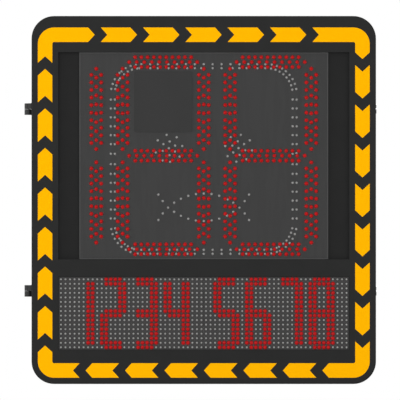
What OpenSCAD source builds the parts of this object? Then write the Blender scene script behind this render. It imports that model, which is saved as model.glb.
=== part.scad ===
// Radar speed sign: a sheet metal case with a hinged display door, millimetres.
// +Z is up, the front faces -Y, and y = 0 is the plane of the rails that meet the pole.

/* [Cabinet] */
// Overall width of the sign
sign_w = 760; // [740:2:900]
// Overall height of the sign
sign_h = 812; // [800:2:960]
// Radius of the cabinet's corners
corner_r = 50; // [40:1:70]
// Depth of the case behind the door
case_depth = 130; // [125:5:200]
// Thickness of the cabinet's sheet
sheet_t = 2; // [1.5:0.5:3]
// Width of the case's inward front lip
lip_w = 18; // [16:1:24]
// Outer radius of the sheet's folds at the case's back and the door's face
fold_r = 3; // [2:0.5:3.5]

/* [Door] */
// Depth of the door from its front face to its back edge
door_depth = 27; // [27:1:40]
// Gap between the door and the case
door_gap = 3; // [2:0.5:5]
// Width of the door's inward back flange
return_w = 14; // [12:1:15]
// Width of the door gasket
gasket_w = 10; // [6:1:10]
// Free height left above the gasket
gasket_clear = 0.3; // [0.2:0.1:0.5]

/* [Windows] */
// Width of the frame on each side of both display windows
frame_w = 59; // [53:0.5:90]
// Height of the upper window's middle above the sign's middle
upper_window_z = 97.5; // [90:0.5:110]
// Height of the frame between the two windows
divider_h = 38; // [30:1:46]
// Height of the matrix window
matrix_window_h = 162; // [142:1:172]

/* [Upper display] */
// Reach of the digit display beyond its side lamps
board_side = 26.5; // [12:0.5:60]
// Reach of the digit display beyond its top and bottom lamps
board_end = 10.7; // [6:0.1:16]
// Depth of the digit display's tray
tray_depth = 8; // [7:1:12]
// Distance of the digit display's face behind the door's face
board_drop = 4; // [4:0.5:6]
// Thickness of a circuit board
pcb_t = 1.6; // [1:0.2:2.4]
// Thickness of the display tray's walls and ribs
tray_wall = 2; // [1.5:0.5:3]
// Thickness of the carrier plate
carrier_t = 2; // [1.5:0.5:3]
// Reach of the carrier plate beyond the window
carrier_margin = 21; // [20:1:22]
// Gap round each display in its window
window_clear = 0.5; // [0.3:0.1:1]

/* [Radar] */
// Width of the radar cover
radome_w = 128; // [110:1:130]
// Height of the radar cover
radome_h = 134; // [120:1:136]
// Sideways place of the radar cover's middle
radome_x = -89.7; // [-92:0.1:-89]
// Height of the radar cover's middle above the window's middle
radome_rise = 119.5; // [119:0.5:121]
// Thickness of the radar cover's flange
radome_t = 1.5; // [1:0.5:2]
// Depth of the radar unit behind the carrier
radar_depth = 22; // [15:1:26]

/* [Digit lamps] */
// Diameter of a red digit lamp
red_d = 6.6; // [4:0.1:6.8]
// Height of a digit or figure lamp above its board
lamp_h = 3; // [2:0.1:3.2]
// Distance between the right columns of two digits
digit_pitch = 237.2; // [235:0.1:240]
// Width of a digit between its column centres
digit_w = 179.1; // [175:0.1:182]
// Distance between a digit's top and middle bars
digit_half_h = 206.5; // [200:0.5:208]
// Height of the digits' middle above the window's middle
digit_rise = 0.3; // [-1:0.1:1]
// Distance of a segment's side rows from its middle row
row_gap = 10.8; // [10:0.1:12]
// Lamps in each row of a segment
row_lamps = 10; // [6:1:10]
// Lamp spacing in the middle row of an upright segment
upright_mid_pitch = 19.67; // [18:0.01:20]
// Lamp spacing in the side rows of an upright segment
upright_side_pitch = 16.68; // [16:0.01:17]
// Lamp spacing in the middle row of a level segment
level_mid_pitch = 16.69; // [16:0.01:17]
// Lamp spacing in the side rows of a level segment
level_side_pitch = 13.73; // [13:0.01:14]

/* [Figure lamps] */
// Diameter of a white figure lamp
white_d = 4; // [3.4:0.1:4.1]
// Least free gap between a white and a red lamp
lamp_free = 0.3; // [0.2:0.1:0.4]
// Distance of the figure ring's middle below the window's middle
ring_drop = 7; // [5:0.5:9]
// Half width of the outer ring of lamps
ring_half_w = 205; // [200:0.5:206]
// Half height of the outer ring of lamps
ring_half_h = 209.2; // [205:0.1:210]
// Corner radius of the outer ring of lamps
ring_r = 66.2; // [60:0.1:70]
// Distance between the two rings of lamps
ring_gap = 8.8; // [8:0.1:9.6]
// Lamp spacing along the ring's straight runs
ring_pitch = 19.68; // [19:0.01:20]
// Sideways place of an eye's middle
eye_x = 77; // [74:0.5:80]
// Height of the eyes' middle above the window's middle
eye_rise = 16.7; // [15.5:0.1:17.5]
// Radius of an eye's outer circle of lamps
eye_r = 30; // [26:0.5:30]
// Radius of the mouth's two arcs
mouth_r = 114.8; // [112:0.1:118]
// Distance of the top of the mouth's upper arc below the window's middle
mouth_top_drop = 83.1; // [81:0.1:85]
// Distance of the bottom of the mouth's lower arc below the window's middle
mouth_low_drop = 144; // [142:0.1:146]

/* [Matrix display] */
// Spacing of the matrix lamps, as many of which as fit fill the window
dot_pitch = 10; // [8:0.5:16]
// Diameter of an unlit matrix lamp
dark_dot_d = 5; // [3:0.1:6]
// Diameter of a lit matrix lamp
lit_dot_d = 7; // [4:0.1:7.6]
// Height of a matrix lamp above its module
dot_h = 2.2; // [1.5:0.1:2.4]
// Distance of the modules' face behind the door's face
module_drop = 2.5; // [2.5:0.1:4]
// Depth of a matrix module
module_depth = 15; // [10:1:16]
// Thickness of a matrix module's face and walls
module_wall = 4; // [2:0.5:5]
// Gap between the two matrix modules
module_gap = 0.4; // [0.2:0.1:1]
// Thickness of the bars behind the matrix
bar_t = 3; // [2:0.5:4]
// Width of the bars behind the matrix
bar_w = 20; // [16:1:24]

/* [Arrow border] */
// Width of the yellow border
band_w = 32; // [28:1:34]
// Thickness of the reflective film
film_t = 0.4; // [0.2:0.1:0.8]
// Distance of the border from the sign's sides and bottom
band_inset = 14; // [12:0.5:15]
// Distance of the border from the sign's top
band_top_inset = 25.5; // [22:0.5:30]
// Inner radius of the border's corners
band_inner_r = 4; // [2:0.5:8]
// Depth of an arrow's point and of its tail notch
arrow_point = 14.5; // [10:0.5:16]
// Gap between one arrow's point and the next one's notch
arrow_gap = 27.8; // [20:0.1:32]
// Arrows up each side
side_arrows = 7; // [5:1:8]
// Arrows along the bottom
bottom_arrows = 6; // [4:1:7]
// Arrows along the top, in place of the words
top_arrows = 5; // [3:1:6]

/* [Hinges and locks] */
// Diameter of a hinge barrel
hinge_d = 16; // [14:1:18]
// Height of a closed hinge
hinge_h = 25.4; // [24:0.2:40]
// Height of the upper hinge and lock, and depth of the lower ones
hinge_z = 201; // [196:1:206]
// Gap between a hinge barrel and the cabinet's side
hinge_clear = 0.5; // [0.4:0.1:1]
// Diameter of a hinge pin
hinge_pin_d = 6; // [5:0.5:7]
// Gap round a turning pin or lock plug
run_clear = 0.05; // [0.03:0.01:0.08]
// Diameter of a lock barrel
lock_d = 16; // [15:0.5:16]
// Diameter of a lock plug
plug_d = 11; // [9:0.5:12]
// Distance from the lock's axis to the keeper pin
hook_reach = 30; // [28:0.5:32]
// Diameter of the keeper pin
keeper_d = 6; // [5:0.5:6]
// Gap round the keeper pin in the hook's slot
hook_clear = 0.6; // [0.4:0.1:1]
// Thickness of a lock hook
hook_t = 3; // [2:0.5:4]

/* [Mounting rails] */
// Length of a mounting rail
rail_l = 600; // [560:10:700]
// Depth of a mounting rail
rail_h = 25; // [25:1:40]
// Width of a mounting rail's web
rail_w = 40; // [36:1:60]
// Thickness of a mounting rail
rail_t = 3; // [2:0.5:4]
// Width of each flange of a mounting rail
rail_flange = 18; // [16:1:24]
// Distance between the two mounting rails
rail_spacing = 400; // [390:5:410]
// Distance between the two slots in a rail
slot_spacing = 120; // [100:5:160]
// Length of a mounting slot
slot_l = 40; // [20:1:50]
// Width of a mounting slot
slot_w = 9; // [7:0.5:12]
// Diameter of a rail bolt
rail_bolt_d = 8; // [6:1:8]

/* [Equipment] */
// Width of the equipment plate
plate_w = 520; // [500:5:560]
// Height of the equipment plate
plate_h = 290; // [280:5:296]
// Length of the equipment plate's spacers
plate_stand = 12; // [10:1:16]
// Width of a battery
battery_w = 181; // [150:1:190]
// Depth of a battery
battery_d = 77; // [65:1:78]
// Height of a battery
battery_h = 167; // [140:1:168]
// Distance of the batteries from the case's back
battery_stand = 13; // [12:1:14]
// Gap between the two batteries
battery_gap = 12; // [8:1:20]
// Radius of the cable gland's bore
gland_bore_r = 6; // [4:0.5:7]
// Sideways place of the cable gland and the vent
gland_x = 250; // [245:5:290]
// Height of the cable gland and the vent above the sign's bottom
gland_rise = 76; // [60:1:110]

/* [Hidden] */
$fn = 96;

// Depths, from the pole forward to the door's face
back_y = -rail_h;
inner_y = back_y - sheet_t;
case_front_y = back_y - case_depth;
door_back_y = case_front_y - door_gap;
front_y = door_back_y - door_depth;
skin_y = front_y + sheet_t;
board_y = front_y + board_drop;
carrier_y = board_y + tray_depth;
carrier_back_y = carrier_y + carrier_t;
module_y = front_y + module_drop;
bar_y = module_y + module_depth;

// Screws and studs of the door
stud_d = 5;
stud_hole_d = 5.4;
stud_inset = 11;
stud_tail = 9;
spacer_d = 9;
nut5_af = 8;
nut5_h = 4;
small_screw_d = 4;
small_head_d = 7;
small_head_h = 2.6;
small_screw_grip = 8;
hex_ratio = 1 / cos(30);

// The two display windows and what fills them
window_w = sign_w - 2 * frame_w;
board_w = 2 * (digit_pitch + row_gap + board_side);
board_h = 2 * (digit_half_h + row_gap + board_end);
upper_window_h = board_h + 2 * window_clear;
matrix_window_z = upper_window_z - upper_window_h / 2 - divider_h - matrix_window_h / 2;
module_cols = floor(window_w / 2 / dot_pitch);
module_rows = floor(matrix_window_h / dot_pitch);
carrier_w = window_w + 2 * carrier_margin;
carrier_h = upper_window_h + 2 * carrier_margin;
stud_x = window_w / 2 + stud_inset;
stud_top_in = 121;
stud_pitch = window_w / 2 - stud_top_in;
module_w = module_cols * dot_pitch - module_gap;
module_h = module_rows * dot_pitch - module_gap;
matrix_cols = 2 * module_cols;
bar_l = carrier_w - 4;
bar_z = module_h / 2 - 18;
radome_z = upper_window_z + radome_rise;
radome_lap = 5;
radome_plug_gap = 0.4;
radar_hole_w = radome_w - 2 * radome_lap;
radar_hole_h = radome_h - 2 * radome_lap;
radar_ear_t = 3;
radar_fin_h = 5;
driver_place = [150, 80];
driver_size = [150, 100];
driver_stand = 6;
driver_foot = [6, 6];
driver_plugs = 5;
driver_plug = [22, 9, 9];
driver_plug_place = [26, 38];
driver_caps = 3;
driver_cap = [13, 12];
driver_cap_place = [45, -34];
driver_chips = 7;
driver_chip = [10, 14, 1.8];
driver_chip_place = [19, 4];

// Hinges, locks and keepers
hinge_x = -sign_w / 2 - hinge_clear - hinge_d / 2;
hinge_y = case_front_y - door_gap / 2;
hinge_leaf = 14;
hinge_split = 0.5;
hinge_pin_l = hinge_h - 5;
lock_y = (front_y + door_back_y) / 2;
wall_x = sign_w / 2;
lock_flange_t = 1.5;
lock_flange_d = lock_d + 5;
lock_nut_af = lock_d + 3;
lock_nut_h = 4;
lock_barrel_l = 22;
plug_l = 33;
hook_inner_r = hook_reach - 10;
hook_outer_r = hook_reach + 10;
hook_hub_d = plug_d + 9;
hook_lead_angle = 24;
hook_side_clear = 1.1;
hook_back_angle = asin((door_depth / 2 - sheet_t - hook_side_clear) / hook_outer_r);
hook_x = wall_x + lock_flange_t - plug_l;
keeper_base_t = 3;
keeper_boss_d = 12;
keeper_base_l = 40;
keeper_tip = 3;

// Rails and their bolts
rail_z = rail_spacing / 2;
flange_mid = rail_w / 2 - rail_t + rail_flange / 2 + rail_t / 2;
rail_bolt_x = [-0.43 * rail_l, -0.16 * rail_l, 0.16 * rail_l, 0.43 * rail_l];
bolt_af = 1.625 * rail_bolt_d;
bolt_head_h = 0.66 * rail_bolt_d;
bolt_nut_h = 0.8 * rail_bolt_d;
bolt_tail = 1.5;
bolt_hole_clear = 0.5;

// Equipment inside the case
plate_t = 2;
plate_back_y = inner_y - plate_stand;
plate_front_y = plate_back_y - plate_t;
plate_stud_in = 15;
plate_stud_tail = 8;
tray_t = 2;
tray_floor_z = -sign_h / 2 + sheet_t + 8;
battery_z = tray_floor_z + tray_t;
battery_y = inner_y - battery_stand;
battery_row_w = 2 * battery_w + battery_gap;
battery_tray_w = battery_row_w + 16;
battery_lip_h = 25;
battery_lid_h = 14;
battery_r = 5;
battery_post_d = 14;
battery_post_in = 18;
battery_post_h = 5;
battery_lid_in = 1.5;
strap_w = 25;
strap_t = 2;
strap_z = battery_z + 0.6 * battery_h;
strap_foot = 24;
strap_bolt_d = 6;
nut6_af = 10;
nut6_h = 5;
plate_spacer_d = 12;
plate_slot = [8, 60];
plate_slot_in = 12;
control_size = [200, 150, 48];
control_wall = 3;
control_lid_h = 9;
control_lid_lap = 2;
control_r = 6;
control_screw_in = 9;
control_screw_d = 8;
control_screw_drop = 1.5;
control_rib = [4, 120, 3];
control_place = [-120, 20];
control_entries = 4;
control_entry_pitch = 40;
control_entry_d = 16;
control_ribs = 11;
control_rib_pitch = 14;
regulator_size = [150, 85, 30];
regulator_base = 8;
regulator_rise = 8;
regulator_top = [134, 61];
regulator_fin = [1.2, 14];
regulator_fin_pitch = 3;
regulator_r = 4;
regulator_place = [125, 75];
din_l = 200;
din_w = 35;
din_h = 7.5;
din_t = 1;
din_place = [125, -60];
terminal_w = 6.2;
terminals = 16;
terminal_gap = 0.2;
terminal_foot = [44, 14];
terminal_top = [30, 18];
terminal_hole = [3.4, 10, 12];
gland_z = -sign_h / 2 + gland_rise;
gland_hex_af = 24;
gland_hex_h = 5;
gland_cap_d = 22;
gland_cap_h = 16;
gland_thread_d = 20;
gland_thread_l = 9;
gland_nut_h = 5;
vent_d = 18;
vent_h = 7;
vent_thread_d = 12;
vent_thread_l = 8;
vent_nut_af = 17;
vent_nut_h = 4;
vent_slot = 1.6;

// The figure's lamps and the digits' lamps
digit_z = upper_window_z + digit_rise;
ring_z = upper_window_z - ring_drop;
eye_z = upper_window_z + eye_rise;
mouth_top_z = upper_window_z - mouth_top_drop;
mouth_low_z = upper_window_z - mouth_low_drop;
lamp_gap = 0.05;
lamp_tip = 0.45;
lamp_tip_d = 0.6;
lamp_spread = (red_d + white_d) / 2 + lamp_free;
white_spread = white_d + 0.3;
tie = 0.5;
ring_start = 32.8;
ring_near = 11.5;
ring_side_n = 1 + floor((ring_half_h - ring_r - ring_start) / ring_pitch);
ring_level_n = floor((ring_half_w - ring_r) / ring_pitch);
corner_lamps = 8;
corner_step = 10;
eye_turn = 9.5;
pupil_turn = 22.5;
mouth_step = 8.66;
mouth_n = 7;
mouth_shared = 5;

// Numerals on the matrix, drawn as bars of a seven bar figure
numerals = ["bc", "abged", "abgcd", "fgbc", "afgcd", "afgcde", "abc", "abcdefg"];
cell_cols = 6;
gap_cols = 1;
group_gap_cols = 5;
group_n = 4;
bar_dots = 2;
first_col = 2;

// The border's edges, and the distances of each corner piece's notch and point from its outer corner
band_x = sign_w / 2 - band_inset;
band_top = sign_h / 2 - band_top_inset;
band_low = -sign_h / 2 + band_inset;
corner_left_top = [63.5, 125.5];
corner_right_top = [112, 69.5];
corner_right_low = [65.5, 104.5];
corner_left_low = [77.5, 71];

// General shapes

// Offsets of n copies at a pitch, centred on zero
function spread(n, pitch) = [for (k = [0:n - 1]) (k - (n - 1) / 2) * pitch];

// Extrudes an outline in X and Z forward from y_back by t
module slab(y_back, t) {
  translate([0, y_back, 0])
    rotate([90, 0, 0])
      linear_extrude(t)
        children();
}

module rounded_rect(w, h, r) {
  square([w - 2 * r, h], center = true);
  square([w, h - 2 * r], center = true);
  for (sx = [-1, 1], sz = [-1, 1])
    translate([sx * (w / 2 - r), sz * (h / 2 - r)])
      circle(r);
}

// The cabinet's outline, moved inward
module outline(inset) {
  rounded_rect(sign_w - 2 * inset, sign_h - 2 * inset, corner_r - inset);
}

// The quarter round of a fold, outward in X and towards -Y
module fold_section() {
  intersection() {
    circle(fold_r);
    translate([0, -fold_r])
      square(fold_r);
  }
}

// A block of the cabinet's outline from y_far to y_end, its edge at y_end folded round
module folded_block(y_end, y_far) {
  way = sign(y_far - y_end);
  fold_y = y_end + way * fold_r;
  straight_w = sign_w - 2 * corner_r;
  straight_h = sign_h - 2 * corner_r;
  slab(max(fold_y, y_far), abs(y_far - fold_y))
    outline(0);
  slab(max(y_end, fold_y), fold_r)
    outline(fold_r);
  translate([0, fold_y, 0])
    rotate([way > 0 ? 0 : 180, 0, 0]) {
      for (turn = [0, 180]) {
        rotate([0, turn, 0])
          translate([sign_w / 2 - fold_r, 0, -straight_h / 2])
            linear_extrude(straight_h)
              fold_section();
        rotate([0, turn + 90, 0])
          translate([sign_h / 2 - fold_r, 0, -straight_w / 2])
            linear_extrude(straight_w)
              fold_section();
      }
      for (k = [0:3])
        translate([(k < 2 ? 1 : -1) * straight_w / 2, 0, (k % 3 == 0 ? 1 : -1) * straight_h / 2])
          rotate([0, 90 * k, 0])
            rotate([-90, 0, 0])
              rotate([0, 0, -90])
                rotate_extrude(angle = 90)
                  translate([corner_r - fold_r, 0])
                    fold_section();
    }
}

// A rod along Y from y_back forward
module rod_y(x, z, y_back, d, l, sides = 0) {
  translate([x, y_back, z])
    rotate([90, 0, 0])
      cylinder(d = d, h = l, $fn = sides == 0 ? 48 : sides);
}

module tube_y(x, z, y_back, d, hole_d, l) {
  difference() {
    rod_y(x, z, y_back, d, l);
    rod_y(x, z, y_back + 1, hole_d, l + 2);
  }
}

// A hexagonal nut along Y, across-flats size af
module nut_y(x, z, y_back, af, hole_d, l) {
  difference() {
    rod_y(x, z, y_back, af * hex_ratio, l, 6);
    rod_y(x, z, y_back + 1, hole_d, l + 2);
  }
}

// A box with its back at y_back, centred on x and z
module block(x, z, y_back, size) {
  translate([x - size[0] / 2, y_back - size[2], z - size[1] / 2])
    cube([size[0], size[2], size[1]]);
}

// A block with rounded edges along Y
module soft_block(x, z, y_back, size, r) {
  slab(y_back, size[2])
    translate([x, z])
      rounded_rect(size[0], size[1], r);
}

// Case and rails

module case_shell() {
  color("#2b2c2c")
    difference() {
      folded_block(back_y, case_front_y);
      slab(inner_y, case_depth - 2 * sheet_t) outline(sheet_t);
      slab(case_front_y + sheet_t + 1, sheet_t + 2) outline(lip_w);
      for (p = rail_bolt_places())
        rod_y(p[0], p[1], back_y + 1, rail_bolt_d + bolt_hole_clear, sheet_t + 2);
      rod_y(gland_x, gland_z, back_y + 1, gland_thread_d + bolt_hole_clear, sheet_t + 2);
      rod_y(-gland_x, gland_z, back_y + 1, vent_thread_d + bolt_hole_clear, sheet_t + 2);
    }
}

function rail_bolt_places() = [
  for (z = [-rail_z, rail_z], side = [-1, 1], x = rail_bolt_x) [x, z + side * flange_mid]
];

// Hat section: web towards the pole, two legs, two flanges on the case
module rail_section() {
  leg_in = rail_w / 2 - rail_t;
  for (side = [-1, 1])
    scale([1, side]) {
      translate([-rail_h, leg_in])
        square([rail_h, rail_t]);
      translate([-rail_h, leg_in])
        square([rail_t, rail_flange + rail_t]);
    }
  translate([-rail_t, -rail_w / 2])
    square([rail_t, rail_w]);
}

module rail(z) {
  color("#9a9c9d")
    difference() {
      translate([-rail_l / 2, 0, z])
        rotate([90, 0, 90])
          linear_extrude(rail_l)
            rail_section();
      for (x = [-slot_spacing / 2, slot_spacing / 2])
        slab(1, rail_t + 2)
          translate([x, z]) {
            square([slot_l - slot_w, slot_w], center = true);
            for (end = [-1, 1])
              translate([end * (slot_l - slot_w) / 2, 0])
                circle(d = slot_w);
          }
      for (p = rail_bolt_places())
        if (abs(p[1] - z) < rail_w)
          rod_y(p[0], p[1], back_y + rail_t + 1, rail_bolt_d + bolt_hole_clear, rail_t + 2);
    }
}

module rail_bolts() {
  head_y = back_y + rail_t + bolt_head_h;
  shank_l = rail_t + sheet_t + bolt_nut_h + bolt_tail;
  color("#b8babb")
    for (p = rail_bolt_places()) {
      rod_y(p[0], p[1], head_y, bolt_af * hex_ratio, bolt_head_h, 6);
      rod_y(p[0], p[1], head_y - bolt_head_h / 2, rail_bolt_d, bolt_head_h / 2 + shank_l);
    }
}

module rail_nuts() {
  color("#b8babb")
    for (p = rail_bolt_places())
      nut_y(p[0], p[1], inner_y, bolt_af, rail_bolt_d + 2 * run_clear, bolt_nut_h);
}

// Hinges: the lower half is on the case and holds the pin, the upper half is on the door

// A hinge half from z up by h, its leaf on the case's side (1) or the door's side (-1)
module hinge_half(z, h, side) {
  translate([hinge_x, hinge_y, z]) {
    cylinder(d = hinge_d, h = h);
    translate([0, side > 0 ? 0 : -hinge_leaf - door_gap / 2, 0])
      cube([hinge_d / 2 + hinge_clear, hinge_leaf + door_gap / 2, h]);
  }
}

module pin_bore(z) {
  translate([hinge_x, hinge_y, z - hinge_pin_l / 2])
    cylinder(d = hinge_pin_d + 2 * run_clear, h = hinge_pin_l);
}

module case_hinge(z) {
  color("#303131")
    difference() {
      hinge_half(z - hinge_h / 2, (hinge_h - hinge_split) / 2, 1);
      pin_bore(z);
    }
}

module door_hinge(z) {
  color("#303131")
    difference() {
      hinge_half(z + hinge_split / 2, (hinge_h - hinge_split) / 2, -1);
      pin_bore(z);
    }
}

module hinge_pin(z) {
  color("silver")
    translate([hinge_x, hinge_y, z - hinge_pin_l / 2])
      cylinder(d = hinge_pin_d, h = hinge_pin_l - hinge_split);
}

// Keeper: a plate on the case's side wall with a stepped pin for the hook
module keeper(z) {
  inner_x = wall_x - sheet_t;
  pin_y = lock_y + hook_reach;
  boss_end = hook_x + hook_t + 2;
  color("silver")
    translate([0, pin_y, z])
      rotate([0, -90, 0]) {
        translate([-keeper_base_l / 2, -keeper_boss_d / 2, -inner_x])
          cube([keeper_base_l, keeper_base_l / 2 + keeper_boss_d / 2, keeper_base_t]);
        translate([0, 0, -inner_x])
          cylinder(d = keeper_boss_d, h = inner_x - boss_end);
        translate([0, 0, -inner_x])
          cylinder(d = keeper_d, h = inner_x - hook_x + keeper_tip);
      }
}

// Equipment on the case's back

function plate_stud_places() = [
  for (sx = [-1, 1], sz = [-1, 1])
    [sx * (plate_w / 2 - plate_stud_in), sz * (plate_h / 2 - plate_stud_in)]
];

module equipment_plate() {
  color("#8d9092")
    slab(plate_back_y, plate_t)
      difference() {
        rounded_rect(plate_w, plate_h, 8);
        for (p = plate_stud_places())
          translate(p)
            circle(d = strap_bolt_d + bolt_hole_clear);
        for (sx = [-1, 1])
          translate([sx * (plate_w / 2 - plate_slot_in), 0])
            rounded_rect(plate_slot[0], plate_slot[1], plate_slot[0] / 2 - 0.1);
      }
}

module plate_studs() {
  color("silver")
    for (p = plate_stud_places())
      rod_y(p[0], p[1], inner_y, strap_bolt_d, plate_stand + plate_t + plate_stud_tail);
}

module plate_spacers() {
  color("silver")
    for (p = plate_stud_places())
      tube_y(p[0], p[1], inner_y, plate_spacer_d, strap_bolt_d + bolt_hole_clear, plate_stand);
}

module plate_nuts() {
  color("silver")
    for (p = plate_stud_places())
      nut_y(p[0], p[1], plate_front_y, nut6_af, strap_bolt_d + 2 * run_clear, nut6_h);
}

// The controller's housing: a tray with a flanged lid over it
module control_box() {
  size = control_size;
  color("#d8d9d6")
    difference() {
      soft_block(control_place[0], control_place[1], plate_front_y, size, control_r);
      soft_block(control_place[0], control_place[1], plate_front_y - control_wall,
                 [size[0] - 2 * control_wall, size[1] - 2 * control_wall, size[2]], control_r - control_wall);
      for (x = spread(control_entries, control_entry_pitch))
        translate([control_place[0] + x, plate_front_y - size[2] / 2, control_place[1] - size[1] / 2 - 1])
          cylinder(d = control_entry_d, h = control_wall + 2);
    }
}

module control_lid() {
  size = control_size;
  lid_y = plate_front_y - size[2];
  color("#c9cbc8")
    difference() {
      union() {
        soft_block(control_place[0], control_place[1], lid_y,
                   [size[0] + 2 * control_lid_lap, size[1] + 2 * control_lid_lap, control_lid_h],
                   control_r + control_lid_lap);
        for (x = spread(control_ribs, control_rib_pitch))
          block(control_place[0] + x, control_place[1], lid_y - control_lid_h, control_rib);
      }
      soft_block(control_place[0], control_place[1], lid_y + 1,
                 [size[0] - 2 * control_wall, size[1] - 2 * control_wall, control_lid_h - control_wall + 1],
                 control_r - control_wall);
      for (sx = [-1, 1], sz = [-1, 1])
        rod_y(control_place[0] + sx * (size[0] / 2 - control_screw_in),
              control_place[1] + sz * (size[1] / 2 - control_screw_in),
              lid_y - control_lid_h + control_screw_drop, control_screw_d, control_screw_drop + 1);
    }
}

// Charge regulator: an extruded heat sink body with fins and a terminal step
module charge_regulator() {
  size = regulator_size;
  x = regulator_place[0];
  z = regulator_place[1];
  color("#3a5a78") {
    soft_block(x, z, plate_front_y, [size[0], size[1], regulator_base], 1);
    soft_block(x, z + regulator_rise, plate_front_y - regulator_base,
               [regulator_top[0], regulator_top[1], size[2] - regulator_base], regulator_r);
    for (side = [-1, 1], k = [0:2])
      block(x + side * (size[0] / 2 - 1 - regulator_fin_pitch * k), z, plate_front_y - regulator_base,
            [regulator_fin[0], size[1], regulator_fin[1]]);
  }
}

module din_section() {
  lip = (din_w - 27) / 2;
  translate([-27 / 2, 0])
    square([27, din_t]);
  for (side = [-1, 1])
    scale([side, 1]) {
      translate([27 / 2 - din_t, 0])
        square([din_t, din_h]);
      translate([27 / 2 - din_t, din_h - din_t])
        square([lip + din_t, din_t]);
    }
}

module din_rail() {
  color("#c5c7c8")
    translate([din_place[0] - din_l / 2, plate_front_y, din_place[1]])
      rotate([90, 0, 90])
        linear_extrude(din_l)
          rotate(90)
            din_section();
}

module terminal_block(x) {
  y = plate_front_y - din_h;
  color("#b9bcb4")
    difference() {
      union() {
        block(x, din_place[1], y - terminal_gap,
              [terminal_w - terminal_gap, terminal_foot[0], terminal_foot[1]]);
        block(x, din_place[1], y - terminal_gap - terminal_foot[1],
              [terminal_w - terminal_gap, terminal_top[0], terminal_top[1]]);
      }
      for (side = [-1, 1])
        rod_y(x, din_place[1] + side * terminal_hole[1],
              y - terminal_gap - terminal_foot[1] - terminal_top[1] + terminal_hole[2] - 2,
              terminal_hole[0], terminal_hole[2]);
    }
}

module terminal_blocks() {
  for (x = spread(terminals, terminal_w))
    terminal_block(din_place[0] + x);
}

// Batteries, their folded tray and the strap over them

module battery_tray() {
  tray_d = battery_stand + battery_d + 2;
  color("#8d9092") {
    translate([-battery_tray_w / 2, inner_y - tray_d - tray_t, tray_floor_z])
      cube([battery_tray_w, tray_d + tray_t, tray_t]);
    translate([-battery_tray_w / 2, inner_y - tray_d - tray_t, tray_floor_z])
      cube([battery_tray_w, tray_t, battery_lip_h]);
    translate([-battery_tray_w / 2, inner_y - tray_t, tray_floor_z])
      cube([battery_tray_w, tray_t, 2 * battery_lip_h]);
    for (side = [-1, 1])
      translate([side * (battery_tray_w - tray_t) / 2 - tray_t / 2, inner_y - tray_d - tray_t, tray_floor_z])
        cube([tray_t, tray_d + tray_t, battery_lip_h]);
  }
}

module battery(side) {
  color("#343638")
    translate([side * (battery_w + battery_gap) / 2, battery_y - battery_d / 2, battery_z]) {
      linear_extrude(battery_h - battery_lid_h)
        rounded_rect(battery_w, battery_d, battery_r);
      linear_extrude(battery_h - battery_post_h)
        rounded_rect(battery_w - 2 * battery_lid_in, battery_d - 2 * battery_lid_in, battery_r - battery_lid_in);
      for (post = [-1, 1])
        translate([post * (battery_w / 2 - battery_post_in), battery_post_in - battery_d / 2, 0])
          cylinder(d = battery_post_d, h = battery_h);
    }
}

module battery_strap() {
  reach = battery_stand + battery_d;
  half = battery_tray_w / 2;
  color("#8d9092")
    difference() {
      translate([0, 0, strap_z - strap_w / 2]) {
        translate([-half - strap_t, inner_y - reach - strap_t, 0])
          cube([2 * half + 2 * strap_t, strap_t, strap_w]);
        for (side = [-1, 1]) {
          translate([side > 0 ? half : -half - strap_t, inner_y - reach - strap_t, 0])
            cube([strap_t, reach + strap_t, strap_w]);
          translate([side > 0 ? half : -half - strap_foot, inner_y - strap_t, 0])
            cube([strap_foot, strap_t, strap_w]);
        }
      }
      for (side = [-1, 1])
        rod_y(side * (half + strap_foot / 2), strap_z, inner_y + 1, strap_bolt_d + bolt_hole_clear,
              strap_t + 2);
    }
}

// Studs on the case with nuts over the strap's feet
module strap_bolts() {
  x = battery_tray_w / 2 + strap_foot / 2;
  color("silver")
    for (side = [-1, 1]) {
      rod_y(side * x, strap_z, inner_y, strap_bolt_d, strap_t + 9);
      rod_y(side * x, strap_z, inner_y - strap_t, nut6_af * hex_ratio, nut6_h, 6);
    }
}

// Cable gland and vent on the case's back

module cable_gland() {
  hex_y = back_y + gland_hex_h;
  color("#202122")
    difference() {
      union() {
        rod_y(gland_x, gland_z, hex_y, gland_hex_af * hex_ratio, gland_hex_h, 6);
        rod_y(gland_x, gland_z, hex_y + gland_cap_h - 5, gland_cap_d, gland_cap_h - 5);
        translate([gland_x, hex_y + gland_cap_h - 5, gland_z])
          rotate([-90, 0, 0])
            cylinder(d1 = gland_cap_d, d2 = 2 * gland_bore_r + 3, h = 3);
        rod_y(gland_x, gland_z, back_y, gland_thread_d, gland_thread_l);
      }
      rod_y(gland_x, gland_z, 1, 2 * gland_bore_r, rail_h + gland_thread_l + 2);
    }
}

module gland_nut() {
  color("#202122")
    nut_y(gland_x, gland_z, inner_y, gland_hex_af, gland_thread_d + 2 * run_clear, gland_nut_h);
}

module vent_plug() {
  color("#202122") {
    difference() {
      rod_y(-gland_x, gland_z, back_y + vent_h, vent_d, vent_h);
      for (turn = [0:45:135])
        translate([-gland_x, back_y + vent_h / 2, gland_z])
          rotate([0, turn, 0])
            cube([vent_d + 2, vent_slot, vent_slot], center = true);
    }
    rod_y(-gland_x, gland_z, back_y, vent_thread_d, vent_thread_l);
  }
}

module vent_nut() {
  color("#202122")
    nut_y(-gland_x, gland_z, inner_y, vent_nut_af, vent_thread_d + 2 * run_clear, vent_nut_h);
}

// Door

module window(h, grow) {
  square([window_w + 2 * grow, h + 2 * grow], center = true);
}

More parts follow.
